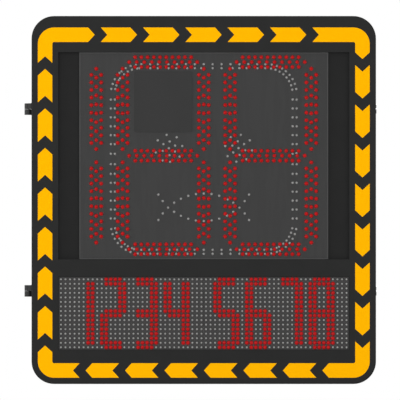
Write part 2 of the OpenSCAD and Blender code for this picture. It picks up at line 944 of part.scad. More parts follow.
module door_shell() {
  color("#2b2c2c")
    difference() {
      union() {
        difference() {
          folded_block(front_y, door_back_y);
          slab(door_back_y - sheet_t, door_depth - 2 * sheet_t) outline(sheet_t);
          slab(door_back_y + 1, sheet_t + 2) outline(return_w);
        }
        slab(carrier_y, carrier_y - front_y)
          translate([0, upper_window_z])
            window(upper_window_h, sheet_t);
      }
      slab(carrier_y + 1, carrier_y - front_y + 2)
        translate([0, upper_window_z])
          window(upper_window_h, 0);
      slab(skin_y + 1, sheet_t + 2)
        translate([0, matrix_window_z])
          window(matrix_window_h, 0);
      for (z = [-hinge_z, hinge_z])
        translate([wall_x - sheet_t - 1, lock_y, z])
          rotate([0, 90, 0])
            cylinder(d = lock_d + bolt_hole_clear, h = sheet_t + 2);
    }
}

module door_gasket() {
  inset = (return_w + sheet_t - gasket_w) / 2;
  color("#1a1b1b")
    slab(door_back_y + door_gap - gasket_clear, door_gap - gasket_clear)
      difference() {
        outline(inset);
        outline(inset + gasket_w);
      }
}

// Studs round the upper window, then the four beside the matrix
function carrier_stud_places() = [
  for (side = [-1, 1], k = [-3:2:3]) [side * stud_x, upper_window_z + k * upper_window_h / 8],
  for (side = [-1, 1], k = [-1:1]) [k * stud_pitch, upper_window_z + side * (upper_window_h / 2 + stud_inset)]
];

function bar_stud_places() = [
  for (side = [-1, 1], row = [-1, 1]) [side * stud_x, matrix_window_z + row * bar_z]
];

module door_studs() {
  color("silver") {
    for (p = carrier_stud_places())
      rod_y(p[0], p[1], carrier_back_y + stud_tail, stud_d, carrier_back_y + stud_tail - skin_y);
    for (p = bar_stud_places())
      rod_y(p[0], p[1], bar_y + bar_t + stud_tail, stud_d, bar_y + bar_t + stud_tail - skin_y);
  }
}

module door_spacers() {
  color("silver") {
    for (p = carrier_stud_places())
      tube_y(p[0], p[1], carrier_y, spacer_d, stud_hole_d, carrier_y - skin_y);
    for (p = bar_stud_places())
      tube_y(p[0], p[1], bar_y, spacer_d, stud_hole_d, bar_y - skin_y);
  }
}

module door_nuts() {
  color("silver") {
    for (p = carrier_stud_places())
      nut_y(p[0], p[1], carrier_back_y + nut5_h, nut5_af, stud_d + 2 * run_clear, nut5_h);
    for (p = bar_stud_places())
      nut_y(p[0], p[1], bar_y + bar_t + nut5_h, nut5_af, stud_d + 2 * run_clear, nut5_h);
  }
}

// Corner places of the radar unit's screws
function radar_screw_places() = [
  for (sx = [-1, 1], sz = [-1, 1])
    [radome_x + sx * (radar_hole_w / 2 + 6), radome_z + sz * (radar_hole_h / 2 - 10)]
];

module carrier_plate() {
  color("#2a2b2b")
    slab(carrier_back_y, carrier_t)
      difference() {
        translate([0, upper_window_z])
          rounded_rect(carrier_w, carrier_h, 6);
        translate([radome_x, radome_z])
          square([radar_hole_w, radar_hole_h], center = true);
        for (p = carrier_stud_places())
          translate(p)
            circle(d = stud_hole_d);
        for (p = radar_screw_places())
          translate(p)
            circle(d = small_screw_d - 0.4);
        translate([driver_place[0], driver_place[1] - 30])
          rounded_rect(60, 16, 6);
      }
}

module digit_tray() {
  inner_w = board_w - 2 * tray_wall;
  inner_h = board_h - 2 * tray_wall;
  color("#3f3f3f")
    difference() {
      slab(carrier_y, tray_depth)
        translate([0, upper_window_z])
          square([board_w, board_h], center = true);
      slab(board_y + pcb_t, pcb_t + 1)
        translate([0, upper_window_z])
          square([inner_w, inner_h], center = true);
      slab(carrier_y - tray_wall, tray_depth)
        difference() {
          translate([0, upper_window_z])
            square([inner_w - 2 * tray_wall, inner_h - 2 * tray_wall], center = true);
          for (x = [-2:2])
            translate([x * inner_w / 5, upper_window_z])
              square([tray_wall, inner_h], center = true);
          for (z = [-1, 1])
            translate([0, upper_window_z + z * inner_h / 6])
              square([inner_w, tray_wall], center = true);
          translate([radome_x, radome_z])
            square([radar_hole_w + 2 * tray_wall, radar_hole_h + 2 * tray_wall], center = true);
        }
      slab(carrier_y + 1, tray_depth + 2)
        translate([radome_x, radome_z])
          square([radar_hole_w, radar_hole_h], center = true);
      slab(board_y + pcb_t, pcb_t + 1)
        translate([radome_x, radome_z])
          square([radar_hole_w + 2 * tray_wall + 1, radar_hole_h + 2 * tray_wall + 1], center = true);
    }
}

module digit_board() {
  fit = 0.4;
  color("#414141")
    slab(board_y + pcb_t, pcb_t)
      difference() {
        translate([0, upper_window_z])
          square([board_w - 2 * tray_wall - fit, board_h - 2 * tray_wall - fit], center = true);
        translate([radome_x, radome_z])
          square([radar_hole_w, radar_hole_h], center = true);
      }
}

// Radar cover: a flange on the display's face and a hollow plug in its opening
module radar_cover() {
  plug_w = radar_hole_w - 2 * radome_plug_gap;
  plug_h = radar_hole_h - 2 * radome_plug_gap;
  color("#3a3a3a")
    difference() {
      union() {
        slab(board_y, radome_t)
          translate([radome_x, radome_z])
            rounded_rect(radome_w, radome_h, 3);
        slab(carrier_y - tray_wall, tray_depth - tray_wall)
          translate([radome_x, radome_z])
            rounded_rect(plug_w, plug_h, 3);
      }
      slab(carrier_y, tray_depth)
        translate([radome_x, radome_z])
          rounded_rect(plug_w - 4, plug_h - 4, 2);
    }
}

// Radar unit: a cast housing with ears on the carrier and fins on its back
module radar_unit() {
  body_w = radar_hole_w - 8;
  body_h = radar_hole_h - 8;
  unit_back_y = carrier_back_y + radar_depth;
  color("#77797b")
    difference() {
      union() {
        slab(carrier_back_y + radar_ear_t, radar_ear_t)
          translate([radome_x, radome_z])
            rounded_rect(radar_hole_w + 24, radar_hole_h, 6);
        slab(unit_back_y - radar_fin_h, radar_depth - radar_fin_h)
          translate([radome_x, radome_z])
            rounded_rect(body_w, body_h, 5);
        slab(carrier_back_y, 2)
          translate([radome_x, radome_z])
            rounded_rect(body_w, body_h, 5);
        for (k = [-4:4])
          slab(unit_back_y, radar_fin_h + 1)
            translate([radome_x + k * body_w / 10, radome_z])
              square([2, body_h - 16], center = true);
      }
      for (p = radar_screw_places())
        rod_y(p[0], p[1], unit_back_y + 1, small_screw_d + 0.4, radar_depth + 2);
    }
}

module radar_screws() {
  head_y = carrier_back_y + radar_ear_t + small_head_h;
  color("silver")
    for (p = radar_screw_places()) {
      rod_y(p[0], p[1], head_y, small_head_d, small_head_h);
      rod_y(p[0], p[1], head_y - 1, small_screw_d - 0.5, head_y - 1 - carrier_y);
    }
}

// Matrix display: two modules on two bars

function module_screw_places(side) = [
  for (x = [-1, 1], row = [-1, 1])
    [side * (module_w + module_gap) / 2 + x * (module_w / 2 - 24), matrix_window_z + row * bar_z]
];

module matrix_module(side) {
  x = side * (module_w + module_gap) / 2;
  color("#404040")
    difference() {
      slab(bar_y, module_depth)
        translate([x, matrix_window_z])
          square([module_w, module_h], center = true);
      slab(bar_y + 1, module_depth - module_wall + 1)
        difference() {
          translate([x, matrix_window_z])
            square([module_w - 2 * module_wall, module_h - 2 * module_wall], center = true);
          translate([x, matrix_window_z])
            square([module_wall, module_h], center = true);
          for (row = [-1, 1])
            translate([x, matrix_window_z + row * bar_z])
              square([module_w, 1.5 * module_wall], center = true);
          for (p = module_screw_places(side))
            translate(p)
              circle(d = 12);
        }
      for (p = module_screw_places(side))
        rod_y(p[0], p[1], bar_y + 1, small_screw_d - 0.4, small_screw_grip + 2);
    }
}

module matrix_bars() {
  color("#8d9092")
    for (row = [-1, 1])
      slab(bar_y + bar_t, bar_t)
        difference() {
          translate([0, matrix_window_z + row * bar_z])
            square([bar_l, bar_w], center = true);
          for (p = bar_stud_places())
            translate(p)
              circle(d = stud_hole_d);
          for (side = [-1, 1], p = module_screw_places(side))
            translate(p)
              circle(d = small_screw_d + 0.4);
        }
}

module matrix_screws() {
  head_y = bar_y + bar_t + small_head_h;
  color("silver")
    for (side = [-1, 1], p = module_screw_places(side)) {
      rod_y(p[0], p[1], head_y, small_head_d, small_head_h);
      rod_y(p[0], p[1], head_y - 1, small_screw_d - 0.5, small_head_h - 1 + bar_t + small_screw_grip - 1);
    }
}

// Driver board behind the carrier, with its feet, connectors and capacitors
module driver_board() {
  x = driver_place[0];
  z = driver_place[1];
  top_y = carrier_back_y + driver_stand + pcb_t;
  color("#1f5a3a") {
    block(x, z, top_y, [driver_size[0], driver_size[1], pcb_t]);
    for (sx = [-1, 1], sz = [-1, 1])
      rod_y(x + sx * (driver_size[0] / 2 - driver_foot[1]), z + sz * (driver_size[1] / 2 - driver_foot[1]),
            top_y - pcb_t / 2, driver_foot[0], driver_stand + pcb_t / 2);
    for (px = spread(driver_plugs, driver_plug_place[0]))
      block(x + px, z + driver_plug_place[1], top_y + driver_plug[2],
            [driver_plug[0], driver_plug[1], driver_plug[2] + pcb_t / 2]);
    for (px = spread(driver_caps, driver_cap_place[0]))
      rod_y(x + px, z + driver_cap_place[1], top_y + driver_cap[1], driver_cap[0], driver_cap[1] + pcb_t / 2);
    for (px = spread(driver_chips, driver_chip_place[0]))
      block(x + px, z + driver_chip_place[1], top_y + driver_chip[2],
            [driver_chip[0], driver_chip[1], driver_chip[2] + pcb_t / 2]);
  }
}

// Lamps

function upright_segment(x, z) = [
  for (s = spread(row_lamps, upright_mid_pitch)) [x, z + s],
  for (side = [-row_gap, row_gap], s = spread(row_lamps, upright_side_pitch)) [x + side, z + s]
];

function level_segment(x, z) = [
  for (s = spread(row_lamps, level_mid_pitch)) [x + s, z],
  for (side = [-row_gap, row_gap], s = spread(row_lamps, level_side_pitch)) [x + s, z + side]
];

function upright_columns() = [
  -digit_pitch, -digit_w, 0, digit_pitch - digit_w, digit_pitch
];

function red_places() = [
  for (x = upright_columns(), side = [-1, 1])
    each upright_segment(x, digit_z + side * digit_half_h / 2),
  for (right = [0, digit_pitch], level = [-1:1])
    each level_segment(right - digit_w / 2, digit_z + level * digit_half_h)
];

// A point on a circle round a middle, paired with the circle's direction there
function on_circle(middle, r, angle, side = 1, up = 1) = [
  middle + [side * r * cos(angle), up * r * sin(angle)],
  [-side * sin(angle), up * cos(angle)]
];

// One ring of lamps, each paired with the direction of its row:
// straight runs with a rounded corner at each end
function ring(half_w, half_h, r) = [
  for (up = [-1, 1], k = [-ring_level_n:ring_level_n]) [[k * ring_pitch, ring_z + up * half_h], [-up, 0]],
  for (side = [-1, 1], up = [-1, 1], k = [0:ring_side_n - 1])
    [[side * half_w, ring_z + up * (ring_start + k * ring_pitch)], [0, 1]],
  for (side = [-1, 1], up = [-1, 1]) [[side * half_w, ring_z + up * ring_near], [0, 1]],
  for (side = [-1, 1], up = [-1, 1], k = [1:corner_lamps])
    on_circle([side * (half_w - r), ring_z + up * (half_h - r)], r, k * corner_step, side, up)
];

function eye(side) =
  let (middle = [side * eye_x, eye_z])
  [
    [middle, [1, 0]],
    for (k = [0:7]) on_circle(middle, eye_r, eye_turn + 45 * k, -side),
    for (k = [0:5]) on_circle(middle, eye_r / 2, pupil_turn + 60 * k, -side)
  ];

function mouth() = [
  for (k = [-mouth_n:mouth_n]) on_circle([0, mouth_top_z - mouth_r], mouth_r, 90 + k * mouth_step),
  for (k = [-mouth_n:mouth_n])
    if (abs(k) != mouth_shared)
      on_circle([0, mouth_low_z + mouth_r], mouth_r, -90 + k * mouth_step)
];

function figure_rows() = [
  for (inward = [0, ring_gap]) each ring(ring_half_w - inward, ring_half_h - inward, ring_r - inward),
  for (side = [-1, 1]) each eye(side),
  each mouth()
];

// Slides a lamp along its row until it is clear of the red lamp beside it, onward in a near tie
function slide_off(p, way, reds) =
  let (near = [for (q = reds) if (norm(p - q) < lamp_spread - 0.001) q])
  len(near) == 0 ? p :
  let (
    off = p - near[0],
    along = off * way,
    across = norm(off - along * way),
    reach = sqrt(lamp_spread ^ 2 - across ^ 2)
  )
  p + way * ((along < -tie ? -reach : reach) - along);

// Eases two white lamps apart along their rows where both slid to the same gap
function eased(lamps) = [
  for (lamp = lamps)
    let (near = [for (q = lamps) if (q[0] != lamp[0] && norm(lamp[0] - q[0]) < white_spread) q[0]])
    len(near) == 0 ? lamp[0] :
    let (off = lamp[0] - near[0])
    lamp[0] + lamp[1] * sign(off * lamp[1]) * (white_spread - norm(off)) / 2
];

function white_places() =
  let (reds = red_places())
  eased([
    for (lamp = figure_rows())
      let (way = lamp[1])
      [slide_off(slide_off(lamp[0], way, reds), way, reds), way]
  ]);

// True where a lamp of diameter d at p stands clear of the radar cover
function off_radome(p, d) =
  abs(p[0] - radome_x) > (radome_w + d) / 2 + lamp_free
  || abs(p[1] - radome_z) > (radome_h + d) / 2 + lamp_free;

// Lamps on a face: each is a round body with a tapered tip
module lamps(places, d, h, face_y) {
  body_h = h - lamp_gap;
  profile = [[0, 0], [d / 2, 0], [d / 2, (1 - lamp_tip) * body_h], [lamp_tip_d * d / 2, body_h], [0, body_h]];
  for (p = places)
    translate([p[0], face_y - lamp_gap, p[1]])
      rotate([90, 0, 0])
        rotate_extrude($fn = 24)
          polygon(profile);
}

module red_lamps() {
  color("#cc1111")
    lamps([for (p = red_places()) if (off_radome(p, red_d)) p], red_d, lamp_h, board_y);
}

module white_lamps() {
  color("#c9cac8")
    lamps([for (p = white_places()) if (off_radome(p, white_d)) p], white_d, lamp_h, board_y);
}

// True where a bar of the numeral covers the dot at column c and row r of its cell
function bar_on(bars, c, r) =
  let (
    last = cell_cols - bar_dots,
    top = module_rows - bar_dots,
    mid = module_rows / 2,
    level = c > 0 && c < cell_cols - 1,
    on = function(name) len(search(name, bars)) > 0
  )
  (on("a") && r >= top && level) || (on("d") && r < bar_dots && level)
  || (on("g") && abs(r + 0.5 - mid) < 1 && level)
  || (on("f") && c < bar_dots && r >= mid && r < module_rows - 1)
  || (on("b") && c >= last && r >= mid && r < module_rows - 1)
  || (on("e") && c < bar_dots && r < mid && r > 0)
  || (on("c") && c >= last && r < mid && r > 0);

function numeral_col(k) =
  first_col + k * (cell_cols + gap_cols) + (k >= group_n ? group_gap_cols - gap_cols : 0);

function is_lit(c, r) = len([
  for (k = [0:len(numerals) - 1])
    let (local = c - numeral_col(k))
    if (local >= 0 && local < cell_cols && bar_on(numerals[k], local, r)) k
]) > 0;

function dot_places(lit) = [
  for (c = [0:matrix_cols - 1], r = [0:module_rows - 1])
    if (is_lit(c, r) == lit)
      [(c - (matrix_cols - 1) / 2) * dot_pitch, matrix_window_z + (r - (module_rows - 1) / 2) * dot_pitch]
];

module dark_dots() {
  color("#9a9a98")
    lamps(dot_places(false), dark_dot_d, dot_h, module_y);
}

module lit_dots() {
  color("#cc1111")
    lamps(dot_places(true), lit_dot_d, dot_h, module_y);
}

// Yellow film: arrows that run clockwise round the door's face

// An arrow along +Y of the outline plane, its notch at zero and its point at l
module arrow(l) {
  half = band_w / 2;
  polygon([
    [0, 0], [-half, -arrow_point], [-half, l - arrow_point],
    [0, l], [half, l - arrow_point], [half, -arrow_point]
  ]);
}

// n arrows in a run, with a gap before each and one after the last
module arrow_run(run, n) {
  l = (run - (n + 1) * arrow_gap) / n;
  for (k = [0:n - 1])
    translate([0, arrow_gap + k * (l + arrow_gap)])
      arrow(l);
}

// A bent arrow that comes up one side and leaves to the right, its outer corner at zero
module corner_piece(ends) {
  outer_r = band_inner_r + band_w;
  tail = ends[0];
  tip = ends[1];
  difference() {
    union() {
      difference() {
        intersection() {
          translate([outer_r, -outer_r])
            circle(outer_r);
          translate([0, -outer_r])
            square(outer_r);
        }
        translate([outer_r, -outer_r])
          circle(band_inner_r);
      }
      translate([0, -tail - arrow_point])
        square([band_w, tail + arrow_point - outer_r]);
      translate([outer_r, -band_w])
        square([tip - arrow_point - outer_r, band_w]);
      translate([tip - arrow_point, 0])
        polygon([[0, 0], [arrow_point, -band_w / 2], [0, -band_w]]);
    }
    translate([0, -tail - arrow_point])
      polygon([[-1, -1], [0, 0], [band_w / 2, arrow_point], [band_w, 0], [band_w + 1, -1]]);
  }
}

module arrow_border() {
  half = band_w / 2;
  color("#febd02")
    slab(front_y, film_t) {
      translate([-band_x, band_top])
        corner_piece(corner_left_top);
      translate([band_x, band_top])
        rotate(-90)
          corner_piece(corner_right_top);
      translate([band_x, band_low])
        rotate(180)
          corner_piece(corner_right_low);
      translate([-band_x, band_low])
        rotate(90)
          corner_piece(corner_left_low);
      translate([-band_x + half, band_low + corner_left_low[1]])
        arrow_run(band_top - band_low - corner_left_low[1] - corner_left_top[0], side_arrows);
      translate([band_x - half, band_top - corner_right_top[1]])
        rotate(180)
          arrow_run(band_top - band_low - corner_right_top[1] - corner_right_low[0], side_arrows);
      translate([band_x - corner_right_low[1], band_low + half])
        rotate(90)
          arrow_run(2 * band_x - corner_right_low[1] - corner_left_low[0], bottom_arrows);
    }
}

module top_arrow_film() {
  color("#febd02")
    slab(front_y, film_t)
      translate([-band_x + corner_left_top[1], band_top - band_w / 2])
        rotate(-90)
          arrow_run(2 * band_x - corner_left_top[1] - corner_right_top[0], top_arrows);
}

// Locks: a threaded barrel in the door's side, a turning plug and its hook

// A shape turned to lie along X, from the outside inward
module at_lock(z) {
  translate([wall_x + lock_flange_t, lock_y, z])
    rotate([0, -90, 0])
      children();
}

module lock_barrels() {
  color("#b8babb")
    for (z = [-hinge_z, hinge_z])
      at_lock(z)
        difference() {
          union() {
            cylinder(d = lock_flange_d, h = lock_flange_t);
            cylinder(d = lock_d, h = lock_barrel_l);
          }
          translate([0, 0, -1])
            cylinder(d = plug_d + 2 * run_clear, h = lock_barrel_l + 2);
        }
}

module lock_nuts() {
  color("#b8babb")
    for (z = [-hinge_z, hinge_z])
      at_lock(z)
        translate([0, 0, lock_flange_t + sheet_t])
          difference() {
            cylinder(d = lock_nut_af * hex_ratio, h = lock_nut_h, $fn = 6);
            translate([0, 0, -1])
              cylinder(d = lock_d + 2 * run_clear, h = lock_nut_h + 2);
          }
}

module lock_plug(z) {
  color("#d0d2d3")
    at_lock(z)
      difference() {
        union() {
          cylinder(d = plug_d, h = plug_l - hook_t);
          cylinder(d = plug_d - 4, h = plug_l);
        }
        translate([-0.8, -3.5, -1])
          cube([1.6, 7, 5]);
      }
}

// Hook: a hub, a neck and a claw with an arc slot that swallows the keeper pin
module hook_outline() {
  far = 1.5 * hook_outer_r;
  difference() {
    union() {
      circle(d = hook_hub_d);
      intersection() {
        circle(hook_outer_r);
        polygon([
          [0, 0],
          [-far * cos(hook_back_angle), -far * sin(hook_back_angle)],
          [-far * cos(hook_lead_angle), far * sin(hook_lead_angle)]
        ]);
      }
    }
    difference() {
      circle(hook_reach + keeper_d / 2 + hook_clear);
      circle(hook_reach - keeper_d / 2 - hook_clear);
      translate([-2 * hook_outer_r, -2 * hook_outer_r])
        square([4 * hook_outer_r, 2 * hook_outer_r]);
    }
    translate([-hook_reach, 0])
      circle(keeper_d / 2 + hook_clear);
    circle(d = plug_d - 4 + 2 * run_clear);
  }
}

module lock_hook(z) {
  color("#b8babb")
    at_lock(z)
      translate([0, 0, plug_l - hook_t])
        linear_extrude(hook_t)
          hook_outline();
}

case_shell();
rail(rail_z);  // rail_upper
rail(-rail_z);  // rail_lower
rail_bolts();
rail_nuts();
case_hinge(hinge_z);  // case_hinge_upper
case_hinge(-hinge_z);  // case_hinge_lower
hinge_pin(hinge_z);  // hinge_pin_upper
hinge_pin(-hinge_z);  // hinge_pin_lower
keeper(hinge_z);  // keeper_upper
keeper(-hinge_z);  // keeper_lower
equipment_plate();
plate_studs();
plate_spacers();
plate_nuts();
control_box();
control_lid();
charge_regulator();
din_rail();
terminal_blocks();
battery_tray();
battery(-1);  // battery_left
battery(1);  // battery_right
battery_strap();
strap_bolts();
cable_gland();
gland_nut();
vent_plug();
vent_nut();
door_shell();
door_gasket();
door_hinge(hinge_z);  // door_hinge_upper
door_hinge(-hinge_z);  // door_hinge_lower
door_studs();
door_spacers();
door_nuts();
carrier_plate();
digit_tray();
digit_board();
radar_cover();
radar_unit();
radar_screws();
matrix_module(-1);  // matrix_left
matrix_module(1);  // matrix_right
matrix_bars();
matrix_screws();
driver_board();
red_lamps();
white_lamps();
dark_dots();
lit_dots();
arrow_border();
top_arrow_film();
lock_barrels();
lock_nuts();
lock_plug(hinge_z);  // lock_plug_upper
lock_plug(-hinge_z);  // lock_plug_lower
lock_hook(hinge_z);  // lock_hook_upper
lock_hook(-hinge_z);  // lock_hook_lower
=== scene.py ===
# Looks of a radar speed sign: finishes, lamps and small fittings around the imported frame.
# Metres, +Z up, the front faces -Y.
import math

import bpy
import numpy as np
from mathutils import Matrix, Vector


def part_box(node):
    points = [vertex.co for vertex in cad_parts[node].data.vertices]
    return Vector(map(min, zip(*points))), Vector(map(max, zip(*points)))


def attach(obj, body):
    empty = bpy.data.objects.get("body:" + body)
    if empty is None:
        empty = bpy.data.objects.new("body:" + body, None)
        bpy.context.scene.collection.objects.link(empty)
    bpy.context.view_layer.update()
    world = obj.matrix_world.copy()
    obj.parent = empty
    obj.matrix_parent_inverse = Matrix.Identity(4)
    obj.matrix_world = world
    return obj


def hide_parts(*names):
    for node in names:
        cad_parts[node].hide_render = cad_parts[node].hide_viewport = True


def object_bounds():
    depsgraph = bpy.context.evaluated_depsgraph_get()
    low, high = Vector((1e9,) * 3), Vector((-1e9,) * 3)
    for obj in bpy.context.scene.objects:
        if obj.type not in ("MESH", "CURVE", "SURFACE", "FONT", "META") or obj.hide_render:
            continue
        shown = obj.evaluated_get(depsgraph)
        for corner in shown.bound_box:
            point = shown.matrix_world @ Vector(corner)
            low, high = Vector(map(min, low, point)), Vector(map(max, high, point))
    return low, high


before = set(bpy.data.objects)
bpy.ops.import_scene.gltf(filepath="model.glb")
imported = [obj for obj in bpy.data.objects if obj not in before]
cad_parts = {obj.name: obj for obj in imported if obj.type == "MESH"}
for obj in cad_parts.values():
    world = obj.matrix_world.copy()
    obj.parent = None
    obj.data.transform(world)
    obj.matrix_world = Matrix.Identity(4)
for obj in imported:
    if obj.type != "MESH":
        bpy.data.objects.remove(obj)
cad_box = [list(corner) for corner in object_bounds()]

MM = 0.001
DOOR = "door"
CASE = "case"
HINGES = ("case_hinge_upper", "case_hinge_lower", "door_hinge_upper", "door_hinge_lower")
WELD_TOLERANCE = 0.001 * MM

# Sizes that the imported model's boxes don't give
CORNER_R = 50 * MM
GASKET_W = 10 * MM
DOT_PITCH = 10 * MM
LEAF_L = 14 * MM
MODULE_WALL = 4 * MM
BOSS_IN = 18 * MM
BOSS_CLEAR = 13 * MM
LID_RIB_H = 3 * MM
LID_SCREW_IN = 9 * MM
LID_SCREW_DROP = 1.5 * MM
BOX_ENTRIES = 4
BOX_ENTRY_PITCH = 40 * MM
REGULATOR_BASE_H = 8 * MM
REGULATOR_RISE = 8 * MM
TERMINAL_HOLE_DEPTH = 10 * MM
TERMINAL_HOLE_OUT = 10 * MM
POST_IN = 18 * MM
POST_H = 5 * MM

# Where the driver board's parts begin: behind its face, and above or below its middle
DRIVER_FACE = 7.8 * MM
DRIVER_CAP_TOP = -25 * MM
DRIVER_CHIPS = (-15 * MM, 20 * MM)
DRIVER_PLUG_FOOT = 25 * MM

# Trim
FILM_CELL = 4 * MM
SEAT_REACH = (0.34, 0.41)
SEAL_W = 8 * MM
SEAL_SEAT = 1.5 * MM
SPILL_REACH = 1.6
SPILL_LIFT = 0.05 * MM
LAMP_SEED = 7
BEAD_SIDES = 8
FLAT_ANGLE = math.radians(0.2)
EDGE_ANGLE = math.radians(40)
HAIR = 0.2 * MM
FAR = 1.0

# Colours that more than one finish takes
SOLDER_GREEN = (0.018, 0.11, 0.045)
SOFT_BLACK = (0.012, 0.012, 0.013)
COLLAR_RED = (0.42, 0.012, 0.010)
TAB_WHITE = (0.62, 0.62, 0.6)

# Camera: a long lens far in front, aimed at the photograph's middle
CAMERA_DISTANCE = 10.0
CAMERA_AIM_X = -8.3 * MM
CAMERA_AIM_Z = 0.0
PHOTO_WIDTH = 0.8823
SENSOR = 36.0

# Lamps of the studio: place, size and power
LIGHTS = {
    "key": ((-0.5, -6.0, 0.7), 2.0, 91),
    "fill": ((2.6, -5.0, -0.6), 2.5, 42),
    "side": ((-4.0, -1.2, 0.4), 1.5, 60),
    "back": ((0.5, 3.2, 2.4), 2.5, 45),
}
LIGHT_AIM = (0, -0.1, 0)
AMBIENT = 0.55
FLOOR_HALF = 60.0
FLOOR_DROP = 0.2
FLOOR_FADE = (0.9, 2.2)


# Meshes

def islands(node):
    """The lowest and highest corners of each separate solid in a CAD node, as two arrays."""
    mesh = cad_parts[node].data
    points = np.zeros(len(mesh.vertices) * 3)
    mesh.vertices.foreach_get("co", points)
    points = points.reshape(-1, 3)
    picked = np.zeros(len(mesh.polygons) * 3, int)
    mesh.polygons.foreach_get("vertices", picked)
    snapped = np.round(points / WELD_TOLERANCE).astype(np.int64)
    welded = np.unique(snapped, axis=0, return_inverse=True)[1].reshape(-1)
    triangles = welded[picked].reshape(-1, 3)
    label = np.arange(welded.max() + 1)
    while True:
        lowest = label[triangles].min(axis=1)
        new = label.copy()
        np.minimum.at(new, triangles.ravel(), np.repeat(lowest, 3))
        if (new == label).all():
            break
        label = new
    groups = np.unique(label[welded], return_inverse=True)[1].reshape(-1)
    low = np.full((groups.max() + 1, 3), np.inf)
    high = -low
    np.minimum.at(low, groups, points)
    np.maximum.at(high, groups, points)
    return low, high


def add_mesh(name, points, faces, material, smooth=True):
    """A mesh object of one material, as it is given."""
    mesh = bpy.data.meshes.new(name)
    mesh.from_pydata([tuple(p) for p in points], [], [tuple(f) for f in faces])
    mesh.materials.append(material)
    mesh.shade_smooth() if smooth else mesh.shade_flat()
    mesh.update()
    obj = bpy.data.objects.new(name, mesh)
    bpy.context.scene.collection.objects.link(obj)
    return obj


def corners(node):
    """The lowest and highest corner of a CAD node, as arrays."""
    low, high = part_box(node)
    return np.array(low), np.array(high)


def spread(count, pitch):
    """Offsets of some copies at a pitch, centred on zero."""
    return [(k - (count - 1) / 2) * pitch for k in range(count)]


def prism(outline, height):
    """An outline of (x, z) points raised from y = 0 towards -Y."""
    count = len(outline)
    points = [(x, -y, z) for y in (0, height) for x, z in outline]
    sides = [[k, (k + 1) % count, count + (k + 1) % count, count + k] for k in range(count)]
    return np.array(points), [list(range(count))[::-1], list(range(count, 2 * count))] + sides


def rounded(width, height, radius, steps=4):
    """A rectangle's outline with round corners, about its middle."""
    outline = []
    for k, (sx, sz) in enumerate(((1, 1), (-1, 1), (-1, -1), (1, -1))):
        for step in range(steps + 1):
            angle = math.pi / 2 * (k + step / steps)
            outline.append((sx * (width / 2 - radius) + radius * math.cos(angle),
                            sz * (height / 2 - radius) + radius * math.sin(angle)))
    return outline


def head_parts(radius, slot, parts, steps=6):
    """Outlines of a screw head cut by one slot (2 parts) or by a cross (4 parts)."""
    outlines = []
    for k in range(parts):
        start = 2 * math.pi * k / parts
        reach = 2 * math.pi / parts
        margin = math.asin(slot / 2 / radius)
        arc = [start + margin + (reach - 2 * margin) * step / steps for step in range(steps + 1)]
        outline = [(radius * math.cos(a), radius * math.sin(a)) for a in arc]
        if parts == 4:
            bisector = start + reach / 2
            inner = slot / 2 * math.sqrt(2)
            outline.append((inner * math.cos(bisector), inner * math.sin(bisector)))
        outlines.append(outline)
    return outlines


def screw_head(radius, height, parts=4):
    """A pan head: a low disc with its slot or cross cut in the upper half."""
    slot = 0.28 * radius
    top = 0.94 * radius
    floor = 0.5 * height
    disc = revolve([(0, 0), (radius, 0), (radius, floor), (0, floor)], 16)
    return joined([disc] + [prism(outline, height) for outline in head_parts(top, slot, parts)])


def joined(shapes):
    """Several shapes as one."""
    points = []
    faces = []
    for more_points, more_faces in shapes:
        start = sum(len(p) for p in points)
        points.append(np.asarray(more_points))
        faces += [[v + start for v in face] for face in more_faces]
    return np.concatenate(points), faces


def moved(shape, x, y, z):
    """A shape moved by three distances."""
    return shape[0] + np.array([x, y, z]), shape[1]


def turned(shape, way):
    """A shape that faces -Y turned to face -Z ("down"), +Z ("up") or +Y ("back")."""
    x, y, z = shape[0].T
    rows = {"down": (x, -z, y), "up": (x, z, -y), "back": (-x, -y, z)}
    return np.stack(rows[way], axis=1), shape[1]


def band_faces(rings, sides):
    """Faces between each ring of points and the next."""
    faces = []
    for k in range(rings - 1):
        low = sides * k
        high = low + sides
        faces += [[low + t, low + (t + 1) % sides, high + (t + 1) % sides, high + t] for t in range(sides)]
    return faces


def bead(start, end, radius):
    """A weld bead: a ripply rod with round ends."""
    start = np.array(start)
    end = np.array(end)
    length = np.linalg.norm(end - start)
    along = (end - start) / length
    side = np.cross(along, (0.3, 0.5, 0.8))
    side /= np.linalg.norm(side)
    up = np.cross(along, side)
    steps = max(6, int(length / (0.5 * radius)))
    points = []
    for k in range(steps + 1):
        share = k / steps
        taper = math.sqrt(max(0.05, 1 - (2 * share - 1) ** 8))
        ripple = 1 + 0.1 * math.sin(k * 2.1)
        reach = radius * taper * ripple
        centre = start + along * length * share
        for turn in range(BEAD_SIDES):
            angle = 2 * math.pi * turn / BEAD_SIDES
            points.append(centre + reach * (side * math.cos(angle) + up * math.sin(angle)))
    first = list(range(BEAD_SIDES))
    last = [v + BEAD_SIDES * steps for v in first]
    return np.array(points), band_faces(steps + 1, BEAD_SIDES) + [first[::-1], last]


def revolve(profile, sides):
    """Points and faces of a profile of (radius, height) turned about -Y, from its foot to its tip."""
    points = []
    rings = []
    for radius, height in profile:
        if radius == 0:
            rings.append([len(points)] * sides)
            points.append((0, -height, 0))
            continue
        rings.append(list(range(len(points), len(points) + sides)))
        for k in range(sides):
            angle = 2 * math.pi * k / sides
            points.append((radius * math.cos(angle), -height, radius * math.sin(angle)))
    faces = []
    for low, high in zip(rings, rings[1:]):
        for k in range(sides):
            j = (k + 1) % sides
            quad = [low[k], low[j], high[j], high[k]]
            faces.append([v for i, v in enumerate(quad) if v not in quad[:i]])
    return np.array(points), faces


